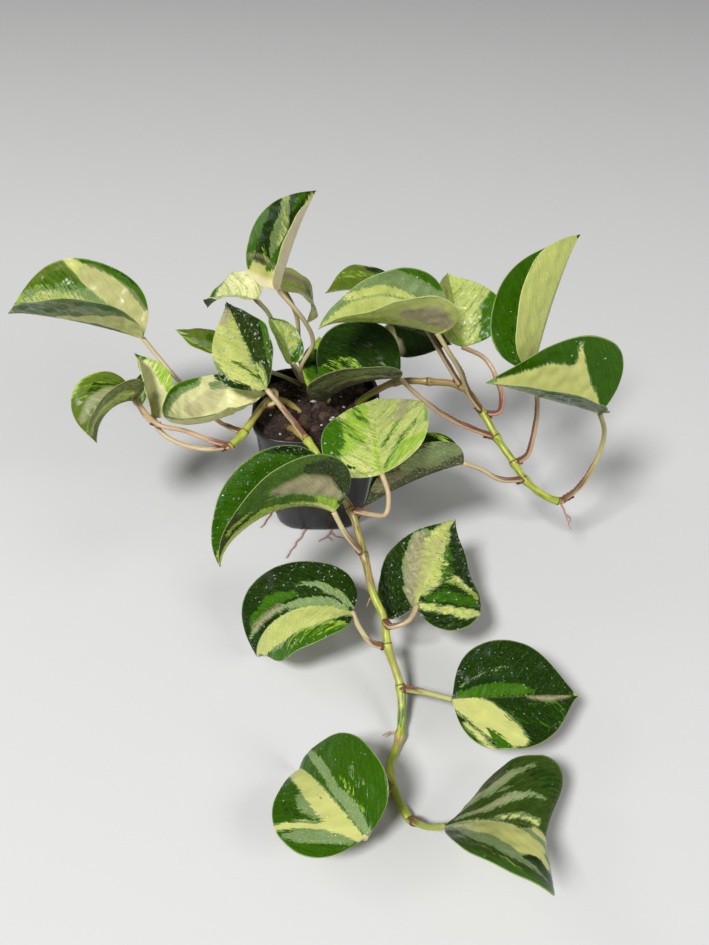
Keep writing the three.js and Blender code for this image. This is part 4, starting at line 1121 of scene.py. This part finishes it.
# kinds of strand in the vine mesh, as the material reads them; wings are ragged parts of a petiole
stemKind, petioleKind, wingKind, rootKind = 0.0, 1.0, 1.5, 2.0


def smoothPath(points, spacing):
    # centripetal Catmull-Rom curve through the points, at even steps
    p = [np.array(q, float) for q in points]
    p = [2 * p[0] - p[1]] + p + [2 * p[-1] - p[-2]]
    fine = []
    for i in range(1, len(p) - 2):
        p0, p1, p2, p3 = p[i - 1:i + 3]
        d0, d1, d2 = (max(np.linalg.norm(b - a) ** 0.5, 1e-4) for a, b in ((p0, p1), (p1, p2), (p2, p3)))
        t1 = ((p1 - p0) / d0 - (p2 - p0) / (d0 + d1) + (p2 - p1) / d1) * d1
        t2 = ((p2 - p1) / d1 - (p3 - p1) / (d1 + d2) + (p3 - p2) / d2) * d1
        for t in np.linspace(0, 1, 24, endpoint=False):
            fine.append((2 * t ** 3 - 3 * t ** 2 + 1) * p1 + (t ** 3 - 2 * t ** 2 + t) * t1
                        + (-2 * t ** 3 + 3 * t ** 2) * p2 + (t ** 3 - t ** 2) * t2)
    fine = np.array(fine + [p[-2]])
    run = np.concatenate([[0], np.cumsum(np.linalg.norm(np.diff(fine, axis=0), axis=1))])
    even = np.linspace(0, run[-1], max(4, int(round(run[-1] / spacing))) + 1)
    return np.stack([np.interp(even, run, fine[:, k]) for k in range(3)], 1), even


def crossTurns(path):
    # two directions across the path at each of its points, without twist
    along = directions(path)
    side = np.cross(along[0], (0, 0, 1.0))
    if np.linalg.norm(side) < 0.1:
        side = np.cross(along[0], (0, 1.0, 0))
    turns = []
    for ahead in along:
        side = side - ahead * np.dot(side, ahead)
        side = side / np.linalg.norm(side)
        turns.append((side, np.cross(side, ahead)))
    return turns


class Strand:
    # collects tubes into one mesh, with what the material needs at each point
    def __init__(self):
        self.points, self.faces, self.values, self.tints = [], [], [], []

    def tube(self, path, run, radii, sides, kind, marks=None, tint=None, shape=None):
        marks = np.zeros(len(path)) if marks is None else marks
        tint = np.zeros((len(path), sides, 3)) if tint is None else tint
        self.faces += closedTube(len(self.points), len(path), sides)
        self.tints += tint.reshape(-1, 3).tolist()
        for i, (centre, (side, up)) in enumerate(zip(path, crossTurns(path))):
            for k, angle in enumerate(ringAngles(sides)):
                radius = radii[i] * (shape(angle, i / (len(path) - 1)) if shape else 1.0)
                self.points.append(centre + side * math.cos(angle) * radius + up * math.sin(angle) * radius)
                self.values.append((k / sides, run[i], kind, marks[i]))

    def finish(self, name, node, material, slot):
        piece = addMeshPiece(name, self.points, self.faces, material)
        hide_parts(node)
        values = np.array(self.values)
        giveValues(piece, "strand", values[:, :3])
        giveValues(piece, "mark", values[:, 3])
        giveValues(piece, "tint", np.clip(self.tints, 0, 1))


def vineMaterial():
    material, tree, shader = startMaterial("vineSkin")
    tones = stemTones
    strand = splitVector(tree, readAttribute(tree, "strand", "Vector"))
    kind = strand[2]
    blush, green, bark = splitVector(tree, readAttribute(tree, "tint", "Vector"))
    fibre = noiseField(tree, scaledPlace(tree, strand, 14.0, 0.08, kind), 1.0, 3.0)
    broad = noiseField(tree, scaledPlace(tree, strand, 4.0, 0.05, kind), 1.2, 3.0)
    uneven = calc(tree, "SUBTRACT", fibre, 0.5)

    stem = blendColor(tree, stretch(tree, broad, 0.35, 0.65), tones["green"], tones["pale"])
    stem = tint(tree, stem, tones["tan"], blush, stretch(tree, broad, 0.3, 0.55, 0.35, 1.0))
    striped = calc(tree, "MULTIPLY_ADD", green, 0.16, fibre)
    stem = blendColor(tree, stretch(tree, striped, 0.6, 0.7, 0.0, 0.85), stem, tones["stripe"])
    stalk = blendColor(tree, green, tones["petiole"], tones["olive"])
    stalk = blendColor(tree, stretch(tree, broad, 0.4, 0.7, 0.0, 0.5), stalk, tones["petiolePale"])
    stalk = blendColor(tree, blush, stalk, tones["blush"])
    stalk = blendColor(tree, stretch(tree, fibre, 0.62, 0.75, 0.0, 0.3), stalk, tones["petioleFibre"])
    color = blendColor(tree, calc(tree, "GREATER_THAN", kind, (stemKind + petioleKind) / 2), stem, stalk)
    color = blendColor(tree, calc(tree, "GREATER_THAN", kind, wingKind), color, tones["root"])

    # scars at the nodes and dried skin, both with ragged edges
    scarred = calc(tree, "MULTIPLY_ADD", uneven, 0.8, readAttribute(tree, "mark"))
    color = blendColor(tree, stretch(tree, scarred, 0.4, 0.62), color, tones["scar"])
    dried = calc(tree, "MULTIPLY_ADD", uneven, 1.2, bark)
    color = blendColor(tree, stretch(tree, dried, 0.4, 0.65, 0.0, 0.9), color, tones["bark"])
    specks = useGroup(tree, fineGrain, size=0.9, contrast=1.2)
    speckMask = stretch(tree, specks["Patches"], 0.6, 0.9, 0.0, 0.4)
    color = blendColor(tree, speckMask, color, tones["speck"], "MULTIPLY")
    height = calc(tree, "ADD", times(tree, fibre, 0.7), times(tree, specks["Height"], 0.3))
    dressShader(tree, shader, color, stretch(tree, scarred, 0.3, 0.7, 0.36, 0.75), height, 0.4, 0.0005)
    return material


def petioleShape(angle, t):
    # a channel along the upper side, open near the stem and closing towards the blade
    channel = vineMake["channel"] * (1 - 0.7 * t)
    return 1.0 - channel * max(0.0, math.sin(angle)) ** 4 + 0.06 * abs(math.cos(angle)) ** 6


def addWings(strand, path, run, radii, winged):
    # dried, ragged edges of the sheath that stand along both sides of the channel
    share = run / run[-1] / winged
    steps = [i for i in range(1, len(path)) if share[i] < 1]
    if len(steps) < 3:
        return
    turns = crossTurns(path)
    thick = vineMake["wingThickness"] / 2
    for turn in (-1, 1):
        strand.faces += closedTube(len(strand.points), len(steps), 4)
        angle = math.radians(90 - turn * 48)
        for i in steps:
            side, up = turns[i]
            out = side * math.cos(angle) + up * math.sin(angle)
            flat = np.cross(out, np.cross(side, up))
            ragged = 0.62 + 0.24 * math.sin(run[i] * 1.9 + turn) + 0.14 * math.sin(run[i] * 4.3)
            rounded = math.sin(math.pi * min(1, share[i] * 0.85 + 0.15)) ** 0.6
            height = max(vineMake["wingHeight"] * ragged * rounded, 0.1)
            foot, tip = path[i] + out * radii[i] * 0.8, path[i] + out * (radii[i] + height)
            strand.points += [foot + flat * thick, tip + flat * thick * 0.5, tip - flat * thick * 0.5,
                              foot - flat * thick]
            strand.values += [(0.3, run[i], wingKind, 0.0)] * 4
            strand.tints += [(0.6, 0.0, 1.0)] * 4


def addStem(strand, vine, radius):
    # the main stem, swollen and scarred at its nodes
    path, run = smoothPath(vine["main"], vineMake["spacing"])
    near, marks = np.full(len(path), 99.0), np.zeros(len(path))
    if vine["nodes"]:
        nodes = np.array(vine["nodes"])
        gaps = np.linalg.norm(path - nodes[:, None], axis=2)
        near = gaps.min(0)
        below = np.einsum("ij,ij->i", path - nodes[gaps.argmin(0)], np.gradient(path, axis=0)) < 0
        marks = np.where(below, 0.72, 0.2) * np.exp(-((near - 1.6) / 1.1) ** 2)
    radii = radius * (0.93 + (vineMake["nodeSwelling"] - 0.93) * np.exp(-(near / 3.0) ** 2))
    radii *= 1 + 0.03 * np.sin(run * 0.5)
    radii[-1] *= 0.6
    tint = np.zeros((len(path), vineMake["sides"], 3))
    for kind, start, end, amount in vine["stretches"]:
        share = amount * np.clip((run - start) / 6, 0, 1) * np.clip((end - run) / 6, 0, 1)
        tint[:, :, ("tan", "green", "bark").index(kind)] += share[:, None]
    strand.tube(path, run, radii, vineMake["sides"], stemKind, marks, tint)


def addPetiole(strand, points, number, pink, green, winged):
    # thicker at its foot and below the blade, with a scar at its sheath and at the knee
    path, run = smoothPath(points, vineMake["spacing"])
    t, left = run / run[-1], run[-1] - run
    radii = vineMake["petioleRadius"] * (0.94 + 0.34 * np.exp(-run / 6.0) + 0.1 * np.exp(-(left / 5.0) ** 2))
    marks = 0.75 * np.exp(-((run - 3.5) / 1.6) ** 2) + 0.3 * np.exp(-(run - run[-1] * 0.8) ** 2)
    angle = np.array(ringAngles(vineMake["sides"]))
    foot = np.clip(1.1 - t / max(winged, 0.25), 0, 1)
    tint = np.zeros((len(path), len(angle), 3))
    tint[:, :, 0] = (pink * (0.8 + 0.9 * foot))[:, None]
    tint[:, :, 1] = green * (0.8 + 0.2 * np.cos(angle))[None, :]
    tint[:, :, 2] = foot[:, None] ** 0.5 * np.clip(np.sin(angle) * 1.5 - 0.4, 0, 0.8) * (winged > 0)
    kind = petioleKind + 0.01 * number
    strand.tube(path, run + number * 40, radii, len(angle), kind, marks, tint, petioleShape)
    if winged:
        addWings(strand, path, run, radii, winged)


def addVine(node, vine, material):
    strand = Strand()
    addStem(strand, vine, vineMake["crownRadius" if node == "stem_crown" else "stemRadius"])
    for number, points in enumerate(vine["petioles"]):
        addPetiole(strand, points, number, *vine["stalks"][number])
    for points in vine["roots"]:
        path, run = smoothPath(points, vineMake["rootSpacing"])
        wiggle = 0.25 * np.stack([np.sin(run * 1.1), np.cos(run * 0.9), 0 * run], 1) * (run > 2)[:, None]
        radii = vineMake["rootRadius"] * (1.25 - 0.7 * run / run[-1])
        strand.tube(path + wiggle, run, radii, vineMake["rootSides"], rootKind)
    strand.finish(node + "_vine", node, material, "stem")


vineSkin = vineMaterial()
for node, vine in vines.items():
    addVine(node, vine, vineSkin)
print("vines built")


# dried sheaths that cling to the foot of the petioles

sheathMake = dict(length=7.0, thickness=0.16, clearance=0.25, spacing=0.8, columns=7, opening=1.9, flare=0.22)


def sheathMaterial():
    material, tree, shader = startMaterial("driedSheath")
    grain = useGroup(tree, fineGrain, size=1.4, contrast=1.6)
    mottle = stretch(tree, grain["Patches"], 0.25, 0.75)
    color = blendColor(tree, mottle, stemTones["darkSheath"], stemTones["sheath"])
    roughness = stretch(tree, grain["Patches"], 0.0, 1.0, 0.6, 0.85)
    dressShader(tree, shader, color, roughness, grain["Height"], 0.5, 0.0004)
    return material


def sheathLayer(path, turn, inwards):
    # one side of a curled flap that opens out and narrows towards its end
    points, along, columns = [], directions(path), sheathMake["columns"]
    for i, centre in enumerate(path):
        side = np.cross(along[i], (0, 0, 1.0))
        side /= max(np.linalg.norm(side), 1e-6)
        up = np.cross(side, along[i])
        t = i / (len(path) - 1)
        radius = vineMake["petioleRadius"] * (1.28 + 0.25 * t) + sheathMake["clearance"] - inwards
        opening = sheathMake["opening"] * (1 - t) ** 0.6 + 0.15
        for k in range(columns):
            angle = -math.pi / 2 + turn * 0.4 + opening * (k / (columns - 1) - 0.5) * 2
            flare = 1 + sheathMake["flare"] * t * math.sin(k * 2.1 + i)
            points.append(centre + (side * math.cos(angle) + up * math.sin(angle)) * radius * flare)
    return points


def layeredFaces(start, rows, columns):
    # two grids of points back to back, closed along their border
    count = rows * columns
    faces = []
    for i in range(rows - 1):
        for k in range(columns - 1):
            p = start + i * columns + k
            quad = [p, p + 1, p + columns + 1, p + columns]
            faces += [quad, [v + count for v in reversed(quad)]]
    border = [i * columns for i in range(rows)] + [(rows - 1) * columns + k for k in range(1, columns)]
    border += [i * columns + columns - 1 for i in reversed(range(rows - 1))]
    border += reversed(range(1, columns - 1))
    for a, b in zip(border, border[1:] + border[:1]):
        faces.append([start + a, start + b, start + b + count, start + a + count])
    return faces


def addSheaths(node, vine, material):
    random.seed(len(node))
    points, faces = [], []
    for petiole in vine["petioles"]:
        path, run = smoothPath(petiole, sheathMake["spacing"])
        length = min(run[-1] * 0.5, sheathMake["length"] * (0.7 + 0.8 * random.random()))
        path = path[2:2 + max(5, int(length / sheathMake["spacing"]))]
        turn = random.choice((-1, 1))
        faces += layeredFaces(len(points), len(path), sheathMake["columns"])
        points += sheathLayer(path, turn, 0.0) + sheathLayer(path, turn, sheathMake["thickness"])
    addMeshPiece(node.replace("stem", "sheaths"), points, faces, material)


driedSheath = sheathMaterial()
for node, vine in vines.items():
    addSheaths(node, vine, driedSheath)
print("sheaths placed")


# the pot: a rounded square shell with a rolled lip and drain slots

pot = dict(height=100, topWidth=95, baseWidth=70, wall=1.2, floor=1.5, sideBulge=1.6, rimLip=1.6, rimHeight=4,
           squareness=3.5, sides=176, slotWidth=8, slotHeight=2.6, slotDepth=4, slotOffset=10, sharpAngle=38,
           plastic=((0.009, 0.009, 0.010), (0.017, 0.016, 0.017)), dust=(0.16, 0.12, 0.09))


def potHalfWidth(z):
    t = z / pot["height"]
    straight = (pot["baseWidth"] + (pot["topWidth"] - pot["baseWidth"]) * t) / 2
    return straight + pot["sideBulge"] * math.sin(math.pi * t) - pot["rimLip"] * t


def squareRing(r, sides):
    # places around a square of half width r with rounded corners
    ring, n = [], pot["squareness"]
    for angle in ringAngles(sides):
        f = (abs(math.cos(angle)) ** n + abs(math.sin(angle)) ** n) ** (-1 / n)
        ring.append((r * math.cos(angle) * f, r * math.sin(angle) * f))
    return ring


def potMaterial():
    material, tree, shader = startMaterial("potPlastic")
    place = putNode(tree, "ShaderNodeTexCoord").outputs["Object"]
    scuff = useGroup(tree, fineGrain, size=2.5, contrast=1.3)
    nearGround = stretch(tree, splitVector(tree, place)[2], 0.06, 0.0, 0.25, 1.0)
    dust = times(tree, stretch(tree, noiseField(tree, place, 60.0, 5.0, 0.65), 0.5, 0.72), nearGround)
    color = tint(tree, blendColor(tree, scuff["Patches"], *pot["plastic"]), pot["dust"], dust, 0.35)
    scuffed = stretch(tree, scuff["Patches"], 0.2, 0.8, 0.22, 0.36)
    roughness = calc(tree, "ADD", scuffed, times(tree, dust, 0.3))
    dressShader(tree, shader, color, roughness, scuff["Height"], 0.12, 0.0003)
    return material


def potProfile():
    # half widths and heights from the foot up the outside, over the lip and down the inside to the floor
    height, wall, base = pot["height"], pot["wall"], pot["baseWidth"] / 2
    rimStart, top = height - pot["rimHeight"], potHalfWidth(height)
    rim = top + pot["rimLip"]
    profile = [(base - 8, 0.9), (base - 7, 0.2), (base - 6, 0.0), (base - 2.4, 0.0), (base - 1.4, 0.15),
               (base - 0.6, 0.7)]
    profile += [(potHalfWidth(z), z) for z in np.linspace(2.4, rimStart - 0.6, 22)]
    profile += [(potHalfWidth(rimStart), rimStart - 0.2), (rim - 0.5, rimStart + 0.1),
                (rim - 0.1, rimStart + 0.4), (rim, rimStart + 0.9), (rim, height - 1.1),
                (rim - 0.2, height - 0.5), (rim - 0.6, height - 0.1), (rim - 1.1, height),
                (top - 0.4, height - 0.1), (top - wall + 0.1, height - 0.6)]
    profile += [(potHalfWidth(z) - wall, z) for z in np.linspace(rimStart, 4, 12)]
    return profile + [(base - wall - 1, pot["floor"])]


def slotBoxes():
    # two boxes at the foot of each side, which cut its drain slots
    mesh = bpy.data.meshes.new("slots")
    corners, sides = [], []
    cube = ((0, 1, 3, 2), (4, 6, 7, 5), (0, 4, 5, 1), (2, 3, 7, 6), (0, 2, 6, 4), (1, 5, 7, 3))
    for quarter in range(4):
        turn = Matrix.Rotation(quarter * math.pi / 2, 3, "Z")
        for offset in (-pot["slotOffset"], pot["slotOffset"]):
            sides += [[len(corners) + v for v in face] for face in cube]
            for dx, dy, dz in [(i, j, k) for i in (-1, 1) for j in (-1, 1) for k in (-1, 1)]:
                corner = Vector((offset + dx * pot["slotWidth"] / 2,
                                 -pot["baseWidth"] / 2 + dy * pot["slotDepth"], dz * pot["slotHeight"]))
                corners.append(tuple(turn @ corner * mm))
    mesh.from_pydata(corners, [], sides)
    slots = bpy.data.objects.new("slots", mesh)
    bpy.context.scene.collection.objects.link(slots)
    return slots


def addPot():
    profile, sides = potProfile(), pot["sides"]
    points = [(x, y, z) for r, z in profile for x, y in squareRing(r, sides)]
    shell = addMeshPiece("pot_shell", points, closedTube(0, len(profile), sides), potMaterial())
    slots = slotBoxes()
    cut = shell.modifiers.new("slots", "BOOLEAN")
    cut.operation = "DIFFERENCE"
    cut.solver = "EXACT"
    cut.object = slots
    done = bpy.data.meshes.new_from_object(shell.evaluated_get(bpy.context.evaluated_depsgraph_get()))
    shell.modifiers.clear()
    shell.data = done
    bpy.data.objects.remove(slots)
    done.polygons.foreach_set("use_smooth", [True] * len(done.polygons))
    done.set_sharp_from_angle(angle=math.radians(pot["sharpAngle"]))
    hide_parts("pot")


addPot()
print("pot built")


# soil with crumbs, bark and perlite

soil = dict(level=93, clearance=1.5, lumps=1.5, rings=44, sides=132,
            below=(88, 60, 30, 3.0, 1.9), floorInset=1.2,
            material=dict(dark=(0.007, 0.004, 0.003), light=(0.048, 0.027, 0.016), roughness=0.95))
# what lies on the soil: how many, how large in mm, how flat and how far it sticks out
soilLumps = dict(
    soil_crumbs=dict(count=650, size=1.5, flat=0.8, lift=0.1, seed=5, material=dict(
        name="soilCrumb", dark=(0.009, 0.005, 0.003), light=(0.060, 0.033, 0.020), roughness=0.95)),
    bark_chips=dict(count=46, size=3.6, flat=0.4, lift=0.12, seed=7, material=dict(
        name="barkChip", dark=(0.026, 0.013, 0.008), light=(0.120, 0.064, 0.034), roughness=0.85)),
    perlite_bits=dict(count=44, size=0.95, flat=0.9, lift=0.2, seed=9, material=dict(
        name="perliteBit", dark=(0.380, 0.370, 0.330), light=(0.720, 0.710, 0.670), roughness=0.9)),
)
# a regular lump with twenty sides, before it is squeezed and jittered
golden = (1 + 5 ** 0.5) / 2
lumpCorners = [(-1, golden, 0), (1, golden, 0), (-1, -golden, 0), (1, -golden, 0),
               (0, -1, golden), (0, 1, golden), (0, -1, -golden), (0, 1, -golden),
               (golden, 0, -1), (golden, 0, 1), (-golden, 0, -1), (-golden, 0, 1)]
lumpSides = [(0, 11, 5), (0, 5, 1), (0, 1, 7), (0, 7, 10), (0, 10, 11),
             (1, 5, 9), (5, 11, 4), (11, 10, 2), (10, 7, 6), (7, 1, 8),
             (3, 9, 4), (3, 4, 2), (3, 2, 6), (3, 6, 8), (3, 8, 9),
             (4, 9, 5), (2, 4, 11), (6, 2, 10), (8, 6, 7), (9, 8, 1)]


def soilHeight(x, y):
    broad = 1.3 * (math.sin(x * 0.31 + 1.7) * math.cos(y * 0.27) + 0.6 * math.sin(x * 0.13 - y * 0.41))
    fine = noise.fractal(Vector((x * 0.16, y * 0.16, 4.0)), 0.9, 2.1, 5)
    return 0.6 * broad + soil["lumps"] * fine


def soilMaterial(name, dark, light, roughness):
    material, tree, shader = startMaterial(name)
    grain = useGroup(tree, fineGrain, size=0.9, contrast=2.2)
    place = putNode(tree, "ShaderNodeTexCoord").outputs["Object"]
    crumbs = putNode(tree, "ShaderNodeTexVoronoi", {"Scale": 700.0, "Vector": place}).outputs
    color = blendColor(tree, stretch(tree, grain["Patches"], 0.25, 0.75), dark, light)
    shade = splitVector(tree, crumbs["Color"])[0]
    color = blendColor(tree, 0.55, color, blendColor(tree, shade, dark, light))
    rough = stretch(tree, grain["Height"], 0.3, 0.7, roughness - 0.08, roughness)
    dressShader(tree, shader, color, rough, crumbs["Distance"], 0.7, 0.0008)
    return material


def addSoil():
    rings, sides, level, clearance = (soil[k] for k in ("rings", "sides", "level", "clearance"))
    half = potHalfWidth(level - 2) - clearance
    points = []
    for i in range(1, rings + 1):
        edge = min(1.0, (rings - i) / 3)  # level and a little lower at the wall
        for x, y in squareRing(half * i / rings, sides):
            points.append((x, y, level + soilHeight(x, y) * edge - (1 - edge) * 0.8))
    for z in soil["below"]:
        r = potHalfWidth(max(z, 3)) - clearance - (soil["floorInset"] if z < 3 else 0)
        points += [(x, y, z) for x, y in squareRing(r, sides)]
    rings += len(soil["below"])
    faces = [[p, s, r, q] for p, q, r, s in ringFaces(0, rings, sides)]
    faces += [[len(points), k, (k + 1) % sides] for k in range(sides)]
    points.append((0, 0, level + soilHeight(0, 0)))
    faces.append([(rings - 1) * sides + k for k in reversed(range(sides))])
    bed = addMeshPiece("soil_bed", points, faces, soilMaterial("pottingSoil", **soil["material"]))
    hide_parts("soil")


def addLumps(name, count, size, flat, lift, seed, material):
    # seeded broken lumps that lie on the soil
    random.seed(seed)
    points, faces = [], []
    half = potHalfWidth(soil["level"]) - soil["clearance"] - 2.5
    while count > 0:
        x, y = (random.uniform(-half, half) for _ in range(2))
        if (abs(x) / half) ** pot["squareness"] + (abs(y) / half) ** pot["squareness"] > 0.92:
            continue
        count -= 1
        scale = size * (0.5 + random.random() ** 2 * 1.1)
        turn = Matrix.Rotation(random.uniform(0, 6.28), 3, "Z")
        turn = turn @ Matrix.Rotation(random.uniform(-0.5, 0.5), 3, "X")
        longer = random.uniform(0.9, 1.9)
        place = Vector((x, y, soil["level"] + soilHeight(x, y) + lift * scale))
        faces += [[len(points) + v for v in side] for side in lumpSides]
        for cx, cy, cz in lumpCorners:
            jitter = random.uniform(0.72, 1.12)
            points.append(place + turn @ (Vector((cx * longer, cy, cz * flat)) * (0.53 * scale * jitter)))
    addMeshPiece(name, points, faces, soilMaterial(**material), smooth=False)


addSoil()
for name, lumps in soilLumps.items():
    addLumps(name, **lumps)
print("soil built")


# roots that have grown out of the drain slots

drainRoots = dict(
    drain_root_long=[[(-10, -31.5, 1), (-11, -37, 1), (-17, -50, 1), (-24, -66, 1)]],
    drain_root_forked=[[(10, -31.5, 1), (10, -38, 1), (6, -43, 1), (1, -48, 1)],
                       [(10, -38, 1), (14, -42, 1), (20, -44, 1)], [(7, -42, 1), (12, -47, 1)]],
    drain_root_short=[[(-31.5, -10, 1), (-38, -14, 1), (-42, -24, 1), (-46, -33, 1)]],
)
rootMake = dict(radius=0.72, spacing=0.9, sides=9, wiggle=0.35, dark=(0.330, 0.170, 0.130),
                light=(0.560, 0.360, 0.300), speck=(0.160, 0.080, 0.050))


def rootMaterial():
    material, tree, shader = startMaterial("rootSkin")
    strand = splitVector(tree, readAttribute(tree, "strand", "Vector"))
    bands = noiseField(tree, scaledPlace(tree, strand, 3.0, 0.5, 0.0), 1.0, 3.0)
    specks = useGroup(tree, fineGrain, size=0.6, contrast=1.5)
    color = blendColor(tree, stretch(tree, bands, 0.35, 0.65), rootMake["dark"], rootMake["light"])
    color = blendColor(tree, stretch(tree, specks["Patches"], 0.5, 0.9, 0.0, 0.5), color, rootMake["speck"])
    dressShader(tree, shader, color, stretch(tree, bands, 0.3, 0.7, 0.55, 0.8), specks["Height"], 0.5, 0.0003)
    return material


def addDrainRoot(node, paths, material):
    strand = Strand()
    for points in paths:
        path, run = smoothPath(points, rootMake["spacing"])
        sway = np.stack([np.sin(run * 0.55 + 1), np.cos(run * 0.7), 0 * run], 1)
        path = path + rootMake["wiggle"] * sway * np.clip(run / 6, 0, 1)[:, None]
        radii = rootMake["radius"] * (1.05 - 0.5 * (run / run[-1]) ** 2)
        strand.tube(path, run, radii, rootMake["sides"], rootKind)
    strand.finish(node + "_fine", node, material, "root")


rootSkin = rootMaterial()
for node, paths in drainRoots.items():
    addDrainRoot(node, paths, rootSkin)
print("drain roots built")


# floor, light and camera

def floorMaterial():
    material, tree, shader = startMaterial("studioFloor")
    soft = noiseField(tree, putNode(tree, "ShaderNodeTexCoord").outputs["Object"], 3.0, 2.0)
    pale = studio["floorColor"]
    shaded = tuple(c * studio["floorShade"] for c in pale)
    dressShader(tree, shader, blendColor(tree, soft, pale, shaded), studio["floorRoughness"])
    return material


def addStudio():
    size = studio["floorSize"]
    mesh = bpy.data.meshes.new("studio_floor")
    corners = [(-size, -size, 0), (size, -size, 0), (size, size, 0), (-size, size, 0)]
    mesh.from_pydata(corners, [], [(0, 1, 2, 3)])
    mesh.materials.append(floorMaterial())
    floor = bpy.data.objects.new("studio_floor", mesh)
    bpy.context.scene.collection.objects.link(floor)
    bpy.context.scene.view_settings.view_transform = "Standard"
    for name in ("key", "fill", "rim"):
        addAreaLight(name, **studio[name])
    world = bpy.data.worlds.new("studio")
    bpy.context.scene.world = world
    world.use_nodes = True
    sky = world.node_tree.nodes["Background"]
    sky.inputs["Color"].default_value = (*studio["skyColor"], 1)
    sky.inputs["Strength"].default_value = studio["skyStrength"]


addStudio()
addCamera()
print("studio ready")
